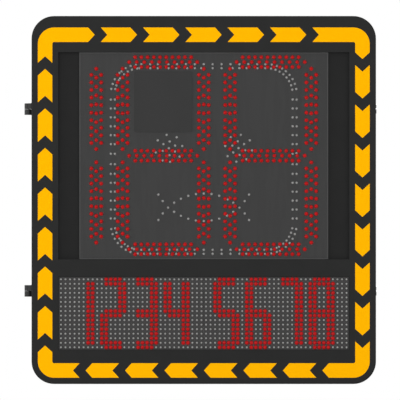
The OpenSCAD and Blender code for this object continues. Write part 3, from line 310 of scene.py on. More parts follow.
def copies(shape, places):
    """A shape's points and faces repeated at many places."""
    points, faces = shape
    all_points = (points[None, :, :] + np.asarray(places)[:, None, :]).reshape(-1, 3)
    all_faces = [[v + n * len(points) for v in f] for n in range(len(places)) for f in faces]
    return all_points, all_faces


def soften(obj, width, weld=False, whole=False):
    """Rounds an object's sharp edges by a small width. A CAD node's split corners are welded first,
    and the flat faces of sheet metal made whole."""
    if weld:
        seam = obj.modifiers.new("weld", "WELD")
        seam.merge_threshold = WELD_TOLERANCE
    if whole:
        flat = obj.modifiers.new("flat", "DECIMATE")
        flat.decimate_type = "DISSOLVE"
        flat.angle_limit = FLAT_ANGLE
    edge = obj.modifiers.new("edge", "BEVEL")
    edge.width = width
    edge.segments = 2
    edge.limit_method = "ANGLE"
    edge.angle_limit = EDGE_ANGLE
    edge.miter_outer = "MITER_ARC"
    edge.use_clamp_overlap = True
    shade = obj.modifiers.new("shade", "WEIGHTED_NORMAL")
    shade.keep_sharp = False


def piece(name, shapes, finish, body, edge=0.0, smooth=False):
    """One object of several shapes that rides on a body. Its finish is a slot's name, or a material
    of its own."""
    points, faces = joined(shapes)
    from_slot = isinstance(finish, str)
    obj = add_mesh(name, points, faces, finishes[finish] if from_slot else finish, smooth)
    if edge:
        soften(obj, edge)
    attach(obj, body)
    return obj


# Materials

class Finish:
    """A material with a Principled shader, and short ways to add nodes in front of it."""

    def __init__(self, name, colour, rough, metal=0.0, specular=0.5):
        self.material = bpy.data.materials.new(name)
        self.material.use_nodes = True
        self.tree = self.material.node_tree
        self.shader = self.tree.nodes["Principled BSDF"]
        self.set(self.shader, {"Base Color": (*colour, 1), "Roughness": rough, "Metallic": metal,
                               "Specular IOR Level": specular})
        self.colour = colour
        self.rough = rough

    def set(self, node, values):
        for key, value in values.items():
            node.inputs[key].default_value = value

    def add(self, kind, values=None, **settings):
        node = self.tree.nodes.new("ShaderNode" + kind)
        for key, value in settings.items():
            setattr(node, key, value)
        self.set(node, values or {})
        return node

    def link(self, source, target):
        self.tree.links.new(source, target)

    def place(self, stretch=(1, 1, 1)):
        """The piece's own coordinates, in metres, stretched."""
        coordinates = self.add("TexCoord")
        mapping = self.add("Mapping", {"Scale": stretch})
        self.link(coordinates.outputs["Object"], mapping.inputs["Vector"])
        return mapping.outputs["Vector"]

    def parts(self, vector):
        """The X, Y and Z outputs of a vector."""
        node = self.add("SeparateXYZ")
        self.link(vector, node.inputs["Vector"])
        return node.outputs

    def local(self):
        """What each point of a lamp keeps: X its distance from the middle, Z its lamp's own number."""
        return self.parts(self.add("Attribute", attribute_name="local").outputs["Vector"])

    def noise(self, scale, detail=2.0, stretch=(1, 1, 1)):
        node = self.add("TexNoise", {"Scale": scale, "Detail": detail})
        self.link(self.place(stretch), node.inputs["Vector"])
        return node.outputs["Fac"]

    def cells(self, scale, output):
        node = self.add("TexVoronoi", {"Scale": scale})
        self.link(self.place(), node.inputs["Vector"])
        return node.outputs[output]

    def ranged(self, value, low, high, start=0.0, end=1.0):
        """Low where a value is at its start, high where it is at its end, and clamped beyond."""
        node = self.add("MapRange", {"From Min": start, "From Max": end, "To Min": low, "To Max": high})
        self.link(value, node.inputs["Value"])
        return node.outputs["Result"]

    def maths(self, operation, a, b=0.0):
        node = self.add("Math", operation=operation)
        for socket, value in zip(node.inputs, (a, b)):
            if isinstance(value, (int, float)):
                socket.default_value = value
            else:
                self.link(value, socket)
        return node.outputs["Value"]

    def mixed(self, factor, a, b):
        """A colour from a to b by a factor; a and b are colours or sockets."""
        node = self.add("Mix", data_type="RGBA")
        self.link(factor, node.inputs["Factor"])
        for socket, value in ((node.inputs[6], a), (node.inputs[7], b)):
            if isinstance(value, tuple):
                socket.default_value = (*value, 1)
            else:
                self.link(value, socket)
        return node.outputs[2]

    def along(self, axis, start, end):
        """1 where a coordinate of the piece lies between two places, in metres, and 0 elsewhere."""
        value = self.parts(self.place())[axis]
        above = self.maths("GREATER_THAN", value, start)
        return self.maths("MULTIPLY", above, self.maths("LESS_THAN", value, end))

    def blend(self, factor, first, second):
        """Shows one shader where the factor is 0 and another where it is 1."""
        mix = self.add("MixShader")
        self.link(factor, mix.inputs[0])
        self.link(first.outputs[0], mix.inputs[1])
        self.link(second.outputs[0], mix.inputs[2])
        self.link(mix.outputs[0], self.tree.nodes["Material Output"].inputs["Surface"])

    def shade(self, factor, spread):
        """Varies the base colour's brightness by a factor, by the given share."""
        dark = tuple(c * (1 - spread) for c in self.colour)
        light = tuple(min(1.0, c * (1 + spread)) for c in self.colour)
        self.link(self.mixed(factor, dark, light), self.shader.inputs["Base Color"])

    def vary_rough(self, factor, spread):
        rough = self.ranged(factor, self.rough - spread, self.rough + spread)
        self.link(rough, self.shader.inputs["Roughness"])

    def relief(self, height, depth):
        """Bump of a height field from 0 to 1, of the given depth in metres."""
        node = self.add("Bump", {"Strength": 1.0, "Distance": depth})
        self.link(height, node.inputs["Height"])
        before = self.shader.inputs["Normal"].links
        if before:
            self.link(before[0].from_socket, node.inputs["Normal"])
        self.link(node.outputs["Normal"], self.shader.inputs["Normal"])


def powder_coat(name, colour, rough):
    """Baked powder: a fine orange peel, a little uneven in gloss."""
    finish = Finish(name, colour, rough, specular=0.12)
    finish.shade(finish.noise(7, 3), 0.06)
    finish.vary_rough(finish.noise(40, 3), 0.06)
    finish.relief(finish.noise(420, 2), 0.05 * MM)
    finish.relief(finish.noise(1500, 2), 0.02 * MM)
    return finish.material


def moulded(name, colour, rough, grain=1200, depth=0.03, specular=0.35):
    """Moulded plastic with a fine grain of a depth in millimetres."""
    finish = Finish(name, colour, rough, specular=specular)
    finish.shade(finish.noise(12, 3), 0.05)
    finish.vary_rough(finish.noise(60, 2), 0.05)
    finish.relief(finish.noise(grain, 2), depth * MM)
    return finish.material


def zinc(name, colour):
    """Zinc coated sheet with a crystal pattern that turns the light a little."""
    finish = Finish(name, colour, 0.4, metal=0.9)
    finish.shade(finish.cells(140, "Color"), 0.17)
    finish.vary_rough(finish.noise(35, 2), 0.06)
    finish.relief(finish.noise(900, 2), 0.02 * MM)
    return finish.material


def steel(name, colour, rough):
    """Bare steel with fine machining marks."""
    finish = Finish(name, colour, rough, metal=1.0)
    finish.shade(finish.noise(60, 3), 0.1)
    finish.vary_rough(finish.noise(1500), 0.08)
    finish.relief(finish.noise(2500), 0.01 * MM)
    return finish.material


def film(name, colour):
    """Prismatic film: a lattice of small sealed cells under a clear face, laid by hand. A faint glow
    in its own colour is painted light, for the little more light that the film sends back to the viewer
    than paint does."""
    finish = Finish(name, colour, 0.42, specular=0.0)
    place = finish.parts(finish.place())
    seams = []
    for slant in ("ADD", "SUBTRACT"):
        across = finish.maths("DIVIDE", finish.maths(slant, place["X"], place["Z"]), FILM_CELL)
        off = finish.maths("ABSOLUTE", finish.maths("SUBTRACT", finish.maths("FRACT", across), 0.5))
        seams.append(finish.ranged(off, 0.0, 1.0, 0.0, 0.07))
    seam = finish.maths("MULTIPLY", seams[0], seams[1])
    finish.shade(seam, 0.02)
    finish.relief(seam, 0.02 * MM)
    finish.relief(finish.noise(9, 2), 0.3 * MM)
    # painted light: a faint glow in the film's own colour stands for the light that the film sends back
    finish.set(finish.shader, {"Emission Color": (*colour, 1), "Emission Strength": 0.06})
    return finish.material


def board(name, colour):
    """Matt solder mask with faint copper runs under it."""
    finish = Finish(name, colour, 0.6, specular=0.12)
    runs = finish.ranged(finish.noise(90, 1, (1, 1, 0.12)), 0, 1, 0.49, 0.52)
    finish.shade(finish.maths("MULTIPLY", runs, finish.noise(9, 4)), 0.05)
    finish.relief(runs, 0.02 * MM)
    finish.relief(finish.noise(1500, 2), 0.02 * MM)
    return finish.material


def solder_mask(name, colour):
    """Glossier solder mask with close copper runs."""
    finish = Finish(name, colour, 0.4, specular=0.3)
    runs = finish.ranged(finish.noise(420, 1, (0.06, 1, 1)), 0, 1, 0.45, 0.6)
    finish.shade(runs, 0.12)
    finish.relief(runs, 0.03 * MM)
    return finish.material


def driver(name, colour):
    """A green board whose parts are coloured by where they stand: plugs, chips and capacitors."""
    finish = Finish(name, colour, 0.45, specular=0.3)
    low, high = corners("driver_board")
    middle = (low[2] + high[2]) / 2
    raised = finish.along("Y", low[1] + DRIVER_FACE, high[1] + FAR)
    capacitor = finish.along("Z", low[2], middle + DRIVER_CAP_TOP)
    chip = finish.along("Z", middle + DRIVER_CHIPS[0], middle + DRIVER_CHIPS[1])
    plug = finish.along("Z", middle + DRIVER_PLUG_FOOT, high[2])
    top = finish.along("Y", high[1] - HAIR, high[1] + FAR)
    tint = finish.mixed(finish.maths("MULTIPLY", raised, plug), colour, (0.62, 0.60, 0.53))
    tint = finish.mixed(finish.maths("MULTIPLY", raised, chip), tint, SOFT_BLACK)
    tint = finish.mixed(finish.maths("MULTIPLY", raised, capacitor), tint, (0.015, 0.025, 0.09))
    tint = finish.mixed(finish.maths("MULTIPLY", top, capacitor), tint, (0.55, 0.55, 0.56))
    finish.link(tint, finish.shader.inputs["Base Color"])
    finish.relief(finish.ranged(finish.noise(110, 1, (0.15, 1, 1)), 0, 1, 0.49, 0.52), 0.03 * MM)
    return finish.material


def module_face(name, colour):
    """Potted black face with a shallow round seat about each lamp, the seat painted darker as
    painted shade in its hollow.
    """
    finish = Finish(name, colour, 0.6, specular=0.12)
    low, high = corners("matrix_left")
    middle = (low[2] + high[2]) / 2
    place = finish.parts(finish.place())
    squares = []
    for axis, start in (("X", 0.0), ("Z", middle)):
        cell = finish.maths("DIVIDE", finish.maths("SUBTRACT", place[axis], start), DOT_PITCH)
        off = finish.maths("SUBTRACT", finish.maths("FRACT", cell), 0.5)
        squares.append(finish.maths("MULTIPLY", off, off))
    reach = finish.maths("ADD", squares[0], squares[1])
    inner, outer = (share ** 2 for share in SEAT_REACH)
    seat = finish.maths("MULTIPLY", finish.ranged(reach, 1.0, 0.0, inner, outer),
                        finish.along("Y", low[1] - FAR, low[1] + HAIR))
    rim = finish.maths("SUBTRACT", 1.0, seat)
    # painted shade: the seat about each lamp is painted darker, for the shade in its hollow
    finish.shade(rim, 0.18)
    finish.relief(rim, 0.25 * MM)
    finish.relief(finish.noise(1200, 2), 0.02 * MM)
    return finish.material


def lens(name, colour, glow, rim):
    """A moulded lamp lens: brighter in the middle, darker at its rim, no two quite alike."""
    finish = Finish(name, colour, 0.32, specular=0.15)
    local = finish.local()
    centre = finish.ranged(local["X"], 1.0, 0.0, 0.35, 1.0)
    dull = tuple(0.88 * c for c in colour)
    bright = finish.mixed(local["Z"], dull, colour)
    tint = finish.mixed(finish.maths("POWER", centre, 0.6), rim, bright)
    finish.link(tint, finish.shader.inputs["Base Color"])
    finish.link(tint, finish.shader.inputs["Emission Color"])
    finish.set(finish.shader, {"Emission Strength": glow})
    return finish.material


def spill_finish(name, colour, strength):
    """Light that a lamp throws on its board: strong at its foot, gone at the ring's outer edge."""
    finish = Finish(name, colour, 0.7, specular=0.1)
    cover = finish.ranged(finish.local()["X"], strength, 0.0, 1.0, SPILL_REACH)
    finish.blend(finish.maths("POWER", cover, 1.3), finish.add("BsdfTransparent"), finish.shader)
    return finish.material


def rubber(name, colour):
    """Dull rubber with a fine cellular skin."""
    finish = Finish(name, colour, 0.8, specular=0.2)
    finish.shade(finish.noise(80, 3), 0.15)
    finish.relief(finish.cells(1600, "Distance"), 0.1 * MM)
    return finish.material


def cast(name, colour):
    """Cast and blasted aluminium."""
    finish = Finish(name, colour, 0.55, metal=0.85)
    finish.shade(finish.noise(300, 4), 0.15)
    finish.vary_rough(finish.noise(500, 3), 0.1)
    finish.relief(finish.noise(900, 4), 0.12 * MM)
    return finish.material


def display_glass(name):
    """The regulator's small display, off: dark green glass, a little uneven."""
    finish = Finish(name, (0.035, 0.05, 0.03), 0.12, specular=0.5)
    finish.shade(finish.noise(200, 1, (1, 1, 0.3)), 0.12)
    return finish.material


def make_finishes():
    """The materials by the names of the record's slots, and the hinges' own."""
    return {
        "cabinet_coat": powder_coat("cabinet_coat", (0.0130, 0.0133, 0.0130), 0.55),
        "carrier_coat": powder_coat("carrier_coat", (0.0121, 0.0122, 0.0121), 0.6),
        "galvanised_steel": zinc("galvanised_steel", (0.47, 0.48, 0.49)),
        "stainless": steel("stainless", (0.55, 0.55, 0.54), 0.3),
        "lock_chrome": steel("lock_chrome", (0.60, 0.60, 0.61), 0.2),
        "box_plastic": moulded("box_plastic", (0.52, 0.53, 0.51), 0.5, 900, 0.05),
        "regulator_body": moulded("regulator_body", (0.035, 0.075, 0.15), 0.38, 1500, 0.02),
        "terminal_plastic": moulded("terminal_plastic", (0.38, 0.39, 0.35), 0.45),
        "battery_case": moulded("battery_case", (0.024, 0.025, 0.027), 0.45, 700, 0.08),
        "gland_plastic": moulded("gland_plastic", SOFT_BLACK, 0.4),
        "gasket_rubber": rubber("gasket_rubber", (0.011, 0.011, 0.011)),
        "tray_plastic": moulded("tray_plastic", (0.036, 0.036, 0.036), 0.5),
        "board_black": board("board_black", (0.0430, 0.0430, 0.0430)),
        "radar_cover_plastic": moulded("radar_cover_plastic", (0.0280, 0.0280, 0.0280),
                                       0.5, 1500, 0.02, 0.12),
        "cast_aluminium": cast("cast_aluminium", (0.38, 0.39, 0.40)),
        "module_plastic": module_face("module_plastic", (0.046, 0.045, 0.045)),
        "driver_green": driver("driver_green", SOLDER_GREEN),
        "red_lens": lens("red_lens", (0.47, 0.003, 0.004), 0.10, (0.42, 0.003, 0.004)),
        "white_lens": lens("white_lens", (0.345, 0.345, 0.337), 0.04, (0.26, 0.26, 0.255)),
        "clear_lens": lens("clear_lens", (0.34, 0.34, 0.33), 0.03, (0.13, 0.13, 0.13)),
        "yellow_film": film("yellow_film", (1.0, 0.456, 0.001)),
        # painted light: the hinges take the cabinet's powder coat painted lighter, so that they read
        # brighter than the frame
        "hinge_coat_painted_light": powder_coat("hinge_coat_painted_light", (0.030, 0.030, 0.030), 0.38),
    }


finishes = make_finishes()


def dress_nodes():
    """Each CAD node takes the finish that its material slot names. The hinges' coat is glossier, and made
    lighter than the cabinet's same coat as painted light, so that the hinges read brighter.
    """
    for name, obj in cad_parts.items():
        for slot in obj.material_slots:
            finish = "hinge_coat_painted_light" if "_hinge_" in name else slot.material.name.split(".")[0]
            slot.material = finishes[finish]


# Lamps

def lamp_places(node):
    """The radius and height of a node's lamps, and the middle of each one's foot."""
    low, high = islands(node)
    middle = (low + high) / 2
    radius = float(np.median(high[:, 0] - low[:, 0])) / 2
    height = float(np.median(high[:, 1] - low[:, 1]))
    return radius, height, np.stack([middle[:, 0], high[:, 1], middle[:, 2]], axis=1)


def keep_local(obj, local):
    """Stores three numbers for each point of an object, which its material reads."""
    layer = obj.data.attributes.new("local", "FLOAT_VECTOR", "POINT")
    layer.data.foreach_set("vector", local.ravel())


def lamp_shape(radius, height, sides, rings):
    """A lamp with a flange at its foot, a short straight body and a domed top."""
    flange = 0.16 * height
    foot = 0.34 * height
    body = 0.96 * radius
    profile = [(radius, 0), (radius, flange), (body, 1.3 * flange), (body, foot)]
    for k in range(1, rings):
        angle = math.pi / 2 * k / rings
        profile.append((body * math.cos(angle), foot + (height - foot) * math.sin(angle)))
    profile.append((0, height))
    return revolve(profile, sides)


def lamps(node, name, slot, sides, rings):
    """Domed lamps in place of a node's plain ones. Each point keeps its distance from its lamp's
    middle, its height and a number of its lamp's own, all from 0 to 1."""
    radius, height, places = lamp_places(node)
    shape = lamp_shape(radius, height, sides, rings)
    points, faces = copies(shape, places)
    obj = add_mesh(name, points, faces, finishes[slot])
    each = len(shape[0])
    off = points - np.repeat(places, each, axis=0)
    local = np.zeros_like(points)
    local[:, 0] = np.hypot(off[:, 0], off[:, 2]) / radius
    local[:, 1] = -off[:, 1] / height
    local[:, 2] = np.repeat(np.random.default_rng(LAMP_SEED).random(len(places)), each)
    keep_local(obj, local)
    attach(obj, DOOR)
    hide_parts(node)


def spill(node, name, material):
    """A thin ring on the board round each lamp of a node, for the light that it throws there."""
    sides = 16
    reaches = (0.8, 1.0, (1 + SPILL_REACH) / 2, SPILL_REACH)
    radius, _, places = lamp_places(node)
    turns = [2 * math.pi * k / sides for k in range(sides)]
    ring = np.array([(reach * radius * math.cos(a), -SPILL_LIFT, reach * radius * math.sin(a))
                     for reach in reaches for a in turns])
    points, faces = copies((ring, band_faces(len(reaches), sides)), places)
    obj = add_mesh(name, points, faces, material)
    local = np.zeros_like(points)
    local[:, 0] = np.tile(np.repeat(reaches, sides), len(places))
    keep_local(obj, local)
    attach(obj, DOOR)


def make_lamps():
    spill("red_lamps", "red_lamp_spill", spill_finish("red_spill", (0.46, 0.004, 0.005), 1.0))
    spill("white_lamps", "white_lamp_spill", spill_finish("white_spill", (0.36, 0.36, 0.355), 1.0))
    spill("lit_dots", "lit_dot_spill", spill_finish("dot_spill", (0.36, 0.004, 0.005), 1.0))
    lamps("red_lamps", "red_lamp_domes", "red_lens", 14, 5)
    lamps("white_lamps", "white_lamp_domes", "white_lens", 14, 5)
    lamps("dark_dots", "dark_dot_domes", "clear_lens", 12, 4)
    lamps("lit_dots", "lit_dot_domes", "red_lens", 12, 4)


# Fittings

def make_gasket():
    """A half round rubber bead on the door's back flange."""
    foot = 0.25
    steps = 8
    low, high = corners("door_gasket")
    middle = (low + high) / 2
    centre_half = (high - low) / 2 - GASKET_W / 2
    radius = CORNER_R - (corners("door_shell")[1][0] - high[0]) - GASKET_W / 2
    height = high[1] - low[1]
    path = rounded(2 * centre_half[0], 2 * centre_half[2], radius, 12)
    section = [(-GASKET_W / 2, 0.0), (-GASKET_W / 2, foot * height)]
    for step in range(1, steps):
        angle = math.pi * (1 - step / steps)
        rise = height * (foot + (1 - foot) * math.sin(angle))
        section.append((GASKET_W / 2 * math.cos(angle), rise))
    section += [(GASKET_W / 2, foot * height), (GASKET_W / 2, 0.0)]
    points = []
    for k, (x, z) in enumerate(path):
        before = np.array(path[k - 1])
        after = np.array(path[(k + 1) % len(path)])
        along = (after - before) / np.linalg.norm(after - before)
        out = np.array([along[1], -along[0]])
        for off, rise in section:
            points.append((middle[0] + x + out[0] * off, low[1] + rise, middle[2] + z + out[1] * off))
    n = len(section)
    faces = []
    for k in range(len(path)):
        here = n * k
        there = n * ((k + 1) % len(path))
        faces += [[here + t, there + t, there + (t + 1) % n, here + (t + 1) % n] for t in range(n)]
    obj = piece("gasket_bead", [(np.array(points), faces)], "gasket_rubber", DOOR, smooth=True)
    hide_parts("door_gasket")


def make_lid_screws():
    """Pan heads in the corner recesses of the controller's lid."""
    head = screw_head(3.4 * MM, 2.2 * MM)
    low, high = corners("control_box")
    seat = corners("control_lid")[0][1] + LID_RIB_H + LID_SCREW_DROP
    shapes = [moved(head, x, seat, z)
              for x in (low[0] + LID_SCREW_IN, high[0] - LID_SCREW_IN)
              for z in (low[2] + LID_SCREW_IN, high[2] - LID_SCREW_IN)]
    piece("lid_screws", shapes, "stainless", CASE, 0.15 * MM)


def make_box_plugs():
    """Blind rubber grommets in the controller housing's cable entries."""
    neck_r = 7.9 * MM
    neck_depth = 2 * MM
    flange_r = 11 * MM
    flange_t = 1.6 * MM
    lip = 3 * MM
    grommet = turned(revolve([(0, -neck_depth), (neck_r, -neck_depth), (neck_r, 0), (flange_r, 0),
                              (flange_r, flange_t), (9.5 * MM, lip), (7 * MM, lip), (5 * MM, 1.2 * MM),
                              (0, 1 * MM)], 28), "down")
    low, high = corners("control_box")
    middle = (low + high) / 2
    shapes = [moved(grommet, middle[0] + x, middle[1], low[2])
              for x in spread(BOX_ENTRIES, BOX_ENTRY_PITCH)]
    piece("box_grommets", shapes, "gland_plastic", CASE, 0.2 * MM, smooth=True)


def make_regulator_face():
    """Display, buttons and screw terminals on the charge regulator."""
    display_off = -18 * MM
    display_rise = 6 * MM
    button_off = 43 * MM
    button_pitch = 15 * MM
    strip_rise = 9 * MM
    strip_t = 10 * MM
    screw_pitch = 14 * MM
    low, high = corners("charge_regulator")
    x = (low[0] + high[0]) / 2
    face_z = (low[2] + high[2]) / 2 + REGULATOR_RISE
    front = low[1]
    base = high[1] - REGULATOR_BASE_H
    display = (x + display_off, front, face_z + display_rise)
    bezel = joined([prism(rounded(72 * MM, 34 * MM, 4 * MM), 1.2 * MM),
                    prism(rounded(58 * MM, 22 * MM, 1.5 * MM), 1.6 * MM)])
    piece("regulator_bezel", [moved(bezel, *display)], "terminal_plastic", CASE, 0.3 * MM)
    glass = prism(rounded(52 * MM, 17 * MM, 1 * MM), 1.9 * MM)
    piece("regulator_display", [moved(glass, *display)], display_glass("display_glass"), CASE, 0.2 * MM)
    button = revolve([(5 * MM, 0), (5 * MM, 1.4 * MM), (4.2 * MM, 2.2 * MM), (0, 2.6 * MM)], 24)
    shapes = [moved(button, x + button_off, front, face_z + dz) for dz in spread(3, button_pitch)]
    piece("regulator_buttons", shapes, "gland_plastic", CASE, 0.2 * MM, smooth=True)
    strip_z = low[2] + strip_rise
    strip = moved(prism(rounded(120 * MM, 13 * MM, 1 * MM), strip_t), x, base, strip_z)
    piece("regulator_terminals", [strip], "gland_plastic", CASE, 0.4 * MM)
    head = screw_head(2.6 * MM, 1.4 * MM, 2)
    shapes = [moved(head, x + dx, base - strip_t, strip_z) for dx in spread(8, screw_pitch)]
    piece("regulator_screws", shapes, "stainless", CASE, 0.1 * MM)


def make_terminal_fittings():
    """A clamp screw in each hole of the terminal blocks, and a blank marker tab between the holes."""
    screw = screw_head(1.5 * MM, 3 * MM, 2)
    tab = prism(rounded(4.4 * MM, 9 * MM, 0.6 * MM), 0.7 * MM)
    screws = []
    tabs = []
    for low, high in zip(*islands("terminal_blocks")):
        x = (low[0] + high[0]) / 2
        z = (low[2] + high[2]) / 2
        for side in (-1, 1):
            screws.append(moved(screw, x, low[1] + TERMINAL_HOLE_DEPTH, z + side * TERMINAL_HOLE_OUT))
        tabs.append(moved(tab, x, low[1], z))
    piece("terminal_screws", screws, "stainless", CASE)
    piece("terminal_tabs", tabs, moulded("tab_white", TAB_WHITE, 0.45), CASE, 0.1 * MM)


def make_battery_fittings():
    """Bolts and washers on the battery posts, red and black collars, and the strip of vent caps."""
    washer_r = 6.4 * MM
    washer_t = 1.2 * MM
    head_r = 5.6 * MM
    head_h = 5 * MM
    collar_r = 9.5 * MM
    collar_bore = 7.1 * MM
    vents_back = 10 * MM
    cap_pitch = 15 * MM
    washer = turned(revolve([(0, 0), (washer_r, 0), (washer_r, washer_t), (0, washer_t)], 28), "up")
    turns = [math.pi / 3 * k for k in range(6)]
    head = turned(prism([(head_r * math.cos(a), head_r * math.sin(a)) for a in turns], head_h), "up")
    collar = turned(revolve([(collar_bore, 0), (collar_r, 0), (collar_r, POST_H - 1 * MM),
                             (collar_r - 1 * MM, POST_H), (collar_bore, POST_H)], 28), "up")
    strip = turned(prism(rounded(100 * MM, 30 * MM, 6 * MM), 1.5 * MM), "up")
    cap = turned(revolve([(7 * MM, 0), (7 * MM, 2.2 * MM), (6 * MM, 3 * MM), (0, 3 * MM)], 24), "up")
    for side in ("left", "right"):
        low, high = corners("battery_" + side)
        x, y, _ = (low + high) / 2
        post_y = low[1] + POST_IN
        top = high[2]
        posts = (low[0] + POST_IN, high[0] - POST_IN)
        bolts = []
        for post_x in posts:
            bolts += [moved(washer, post_x, post_y, top), moved(head, post_x, post_y, top + washer_t)]
        piece("battery_bolts_" + side, bolts, "stainless", CASE, 0.3 * MM)
        for post_x, (tint, colour) in zip(posts, (("red", COLLAR_RED), ("black", SOFT_BLACK))):
            finish = moulded("collar_%s_%s" % (side, tint), colour, 0.5)
            shape = moved(collar, post_x, post_y, top - POST_H)
            piece("battery_collar_%s_%s" % (side, tint), [shape], finish, CASE, 0.2 * MM, smooth=True)
        vents = [moved(strip, x, y + vents_back, top - POST_H)]
        vents += [moved(cap, x + dx, y + vents_back, top - POST_H) for dx in spread(6, cap_pitch)]
        piece("battery_vents_" + side, vents, "battery_case", CASE, 0.3 * MM)


def make_module_boards():
    """Driver boards in the back of each matrix module, with rows of chips and two sockets."""
    board_t = 2 * MM
    side_gap = 1.5 * MM
    socket_off = 20 * MM
    chip = turned(prism(rounded(9 * MM, 4 * MM, 0.4 * MM), 1.6 * MM), "back")
    socket = turned(prism(rounded(22 * MM, 8 * MM, 0.6 * MM), 7 * MM), "back")
    boards = []
    chips = []
    sockets = []
    for node in ("matrix_left", "matrix_right"):
        low, high = corners(node)
        x, _, z = (low + high) / 2
        floor = low[1] + MODULE_WALL
        cell_w = (high[0] - low[0] - 3 * MODULE_WALL) / 2
        board_h = high[2] - low[2] - 2 * (BOSS_IN + BOSS_CLEAR)
        board_shape = turned(prism(rounded(cell_w - 2 * side_gap, board_h, 1.5 * MM), board_t), "back")
        for side in (-1, 1):
            board_x = x + side * (cell_w + MODULE_WALL) / 2
            boards.append(moved(board_shape, board_x, floor, z))
            chips += [moved(chip, board_x + dx, floor + board_t, z + dz)
                      for dz in spread(4, 22 * MM) for dx in spread(6, 20 * MM)]
            sockets.append(moved(socket, board_x + side * socket_off, floor + board_t, z))
    piece("module_boards", boards, solder_mask("module_board", SOLDER_GREEN), DOOR)
    piece("module_chips", chips, "gland_plastic", DOOR)
    piece("module_sockets", sockets, "gland_plastic", DOOR, 0.3 * MM)


def make_welds():
    """Small beads where each hinge leaf is welded to the sheet."""
    radius = 1.2 * MM
    sunk = 0.3 * MM
    end_gap = 1 * MM
    wall = corners("case_shell")[0][0] - sunk
    for name, body, way in zip(HINGES, (CASE, CASE, DOOR, DOOR), (1, 1, -1, -1)):
        low, high = corners(name)
        outer_z = low[2] if way > 0 else high[2]
        leaf_end = high[1] if way > 0 else low[1]
        leaf_start = leaf_end - way * (LEAF_L - 2 * end_gap)
        spots = [((wall, leaf_start, outer_z), (wall, leaf_end, outer_z)),
                 ((wall, leaf_end, low[2] + end_gap), (wall, leaf_end, high[2] - end_gap))]
        shapes = [bead(start, end, radius) for start, end in spots]
        piece(name + "_weld", shapes, "cabinet_coat", body, smooth=True)


def make_matrix_seal():
    """A foam strip that closes the slit between the matrix modules and their window."""
    depth = 4 * MM
    left_low, left_high = corners("matrix_left")
    low_x, low_z = left_low[0], left_low[2]
    high_x, high_z = corners("matrix_right")[1][0], left_high[2]
    seat = corners("door_shell")[0][1] + SEAL_SEAT
    across = high_x - low_x + 2 * SEAL_W
    strips = []
    for x, z, width, height in (
        ((low_x + high_x) / 2, high_z + SEAL_W / 2, across, SEAL_W),
        ((low_x + high_x) / 2, low_z - SEAL_W / 2, across, SEAL_W),
        (low_x - SEAL_W / 2, (low_z + high_z) / 2, SEAL_W, high_z - low_z),
        (high_x + SEAL_W / 2, (low_z + high_z) / 2, SEAL_W, high_z - low_z),
    ):
        strip = turned(prism(rounded(width, height, 0.3 * MM, 1), depth), "back")
        strips.append(moved(strip, x, seat, z))
    piece("matrix_seal", strips, "gasket_rubber", DOOR)


def make_gland_ribs():
    """Grip ribs round the gland's cap."""
    count = 18
    radius = 11 * MM
    back = 4 * MM
    low, high = corners("cable_gland")
    x = (low[0] + high[0]) / 2
    z = (low[2] + high[2]) / 2
    rib = prism(rounded(1.6 * MM, 1.6 * MM, 0.5 * MM, 2), 9 * MM)
    ribs = []
    for k in range(count):
        angle = 2 * math.pi * k / count
        ribs.append(moved(rib, x + radius * math.cos(angle), high[1] - back, z + radius * math.sin(angle)))
    piece("gland_ribs", ribs, "gland_plastic", CASE, smooth=True)


def soften_nodes():
    """Small edge rounds on the CAD nodes whose sharp edges would catch the light."""
    edges = {
        0.2: ("din_rail", "driver_board"),
        0.25: HINGES,
        0.3: ("equipment_plate", "plate_nuts", "door_nuts", "radar_screws", "matrix_screws", "lock_barrels",
              "lock_plug_upper", "lock_plug_lower"),
        0.4: ("rail_nuts", "charge_regulator", "terminal_blocks", "battery_tray", "battery_strap",
              "strap_bolts", "gland_nut", "vent_nut", "radar_cover", "matrix_bars", "lock_nuts",
              "lock_hook_upper", "lock_hook_lower"),
        0.5: ("rail_bolts", "keeper_upper", "keeper_lower", "cable_gland", "vent_plug"),
        0.6: ("radar_unit",),
        0.8: ("rail_upper", "rail_lower", "control_box"),
        1.0: ("control_lid",),
        1.2: ("battery_left", "battery_right"),
    }
    sheets = HINGES + ("rail_upper", "rail_lower", "equipment_plate", "din_rail", "battery_tray",
                       "battery_strap", "matrix_bars", "keeper_upper", "keeper_lower",
                       "lock_hook_upper", "lock_hook_lower")
    for width, nodes in edges.items():
        for node in nodes:
            soften(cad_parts[node], width * MM, weld=True, whole=node in sheets)


def make_fittings():
    make_gasket()
    make_lid_screws()
    make_box_plugs()
    make_regulator_face()
    make_terminal_fittings()
    make_battery_fittings()
    make_module_boards()
    make_matrix_seal()
    make_welds()
    make_gland_ribs()


# Stage

def make_floor():
    """A pale floor that keeps the shadow near the sign and fades to white away from it."""
    height = cad_box[0][2] - FLOOR_DROP
    points = [(x, y, height) for x, y in ((-FLOOR_HALF, -FLOOR_HALF), (FLOOR_HALF, -FLOOR_HALF),
                                          (FLOOR_HALF, FLOOR_HALF), (-FLOOR_HALF, FLOOR_HALF))]
    finish = Finish("floor", (0.80, 0.80, 0.80), 0.9, specular=0.1)
    finish.shade(finish.noise(3, 4), 0.01)
    white = finish.add("Emission", {"Strength": 1.0})
    far = finish.add("VectorMath", operation="LENGTH")
    finish.link(finish.place(), far.inputs[0])
    fade = finish.ranged(far.outputs["Value"], 0.0, 1.0, *FLOOR_FADE)
    paths = finish.add("LightPath")
    seen = finish.maths("MAXIMUM", paths.outputs["Is Camera Ray"], paths.outputs["Is Glossy Ray"])
    seen = finish.maths("MAXIMUM", seen, paths.outputs["Is Transmission Ray"])
    finish.blend(finish.maths("MULTIPLY", fade, seen), finish.shader, white)
    add_mesh("floor", points, [(0, 1, 2, 3)], finish.material, smooth=False)


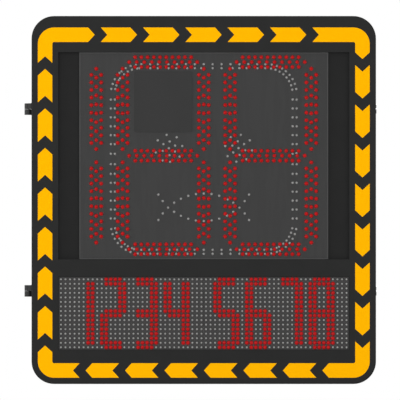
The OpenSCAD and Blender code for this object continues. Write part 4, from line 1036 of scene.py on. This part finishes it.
def make_world():
    """White where the camera, gloss or glass looks at it, and a soft level elsewhere."""
    world = bpy.data.worlds.new("studio")
    bpy.context.scene.world = world
    world.use_nodes = True
    tree = world.node_tree
    ambient = tree.nodes["Background"]
    ambient.inputs["Color"].default_value = (1, 1, 1, 1)
    ambient.inputs["Strength"].default_value = AMBIENT
    shown = tree.nodes.new("ShaderNodeBackground")
    shown.inputs["Color"].default_value = (1, 1, 1, 1)
    shown.inputs["Strength"].default_value = 1.0
    paths = tree.nodes.new("ShaderNodeLightPath")
    seen = paths.outputs["Is Camera Ray"]
    for kind in ("Is Glossy Ray", "Is Transmission Ray"):
        either = tree.nodes.new("ShaderNodeMath")
        either.operation = "MAXIMUM"
        tree.links.new(seen, either.inputs[0])
        tree.links.new(paths.outputs[kind], either.inputs[1])
        seen = either.outputs[0]
    mix = tree.nodes.new("ShaderNodeMixShader")
    tree.links.new(seen, mix.inputs[0])
    tree.links.new(ambient.outputs[0], mix.inputs[1])
    tree.links.new(shown.outputs[0], mix.inputs[2])
    tree.links.new(mix.outputs[0], tree.nodes["World Output"].inputs["Surface"])


def make_lights():
    """Square area lamps aimed at the sign's middle."""
    for name, (place, size, power) in LIGHTS.items():
        data = bpy.data.lights.new(name, "AREA")
        data.shape = "SQUARE"
        data.size = size
        data.energy = power
        obj = bpy.data.objects.new(name, data)
        bpy.context.scene.collection.objects.link(obj)
        obj.location = place
        towards = Vector(LIGHT_AIM) - Vector(place)
        obj.rotation_euler = towards.to_track_quat("-Z", "Y").to_euler()


def make_camera():
    """A camera in front of the door, far enough for the photograph's flat view."""
    data = bpy.data.cameras.new("camera")
    data.sensor_width = SENSOR
    data.lens = SENSOR * CAMERA_DISTANCE / PHOTO_WIDTH
    data.clip_end = 100
    camera = bpy.data.objects.new("camera", data)
    bpy.context.scene.collection.objects.link(camera)
    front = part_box("door_shell")[0].y
    camera.location = (CAMERA_AIM_X, front - CAMERA_DISTANCE, CAMERA_AIM_Z)
    camera.rotation_euler = (math.pi / 2, 0, 0)
    bpy.context.scene.camera = camera


make_camera()
make_world()
make_lights()
make_floor()
dress_nodes()
make_lamps()
make_fittings()
soften_nodes()
bpy.context.scene.view_settings.view_transform = "Standard"
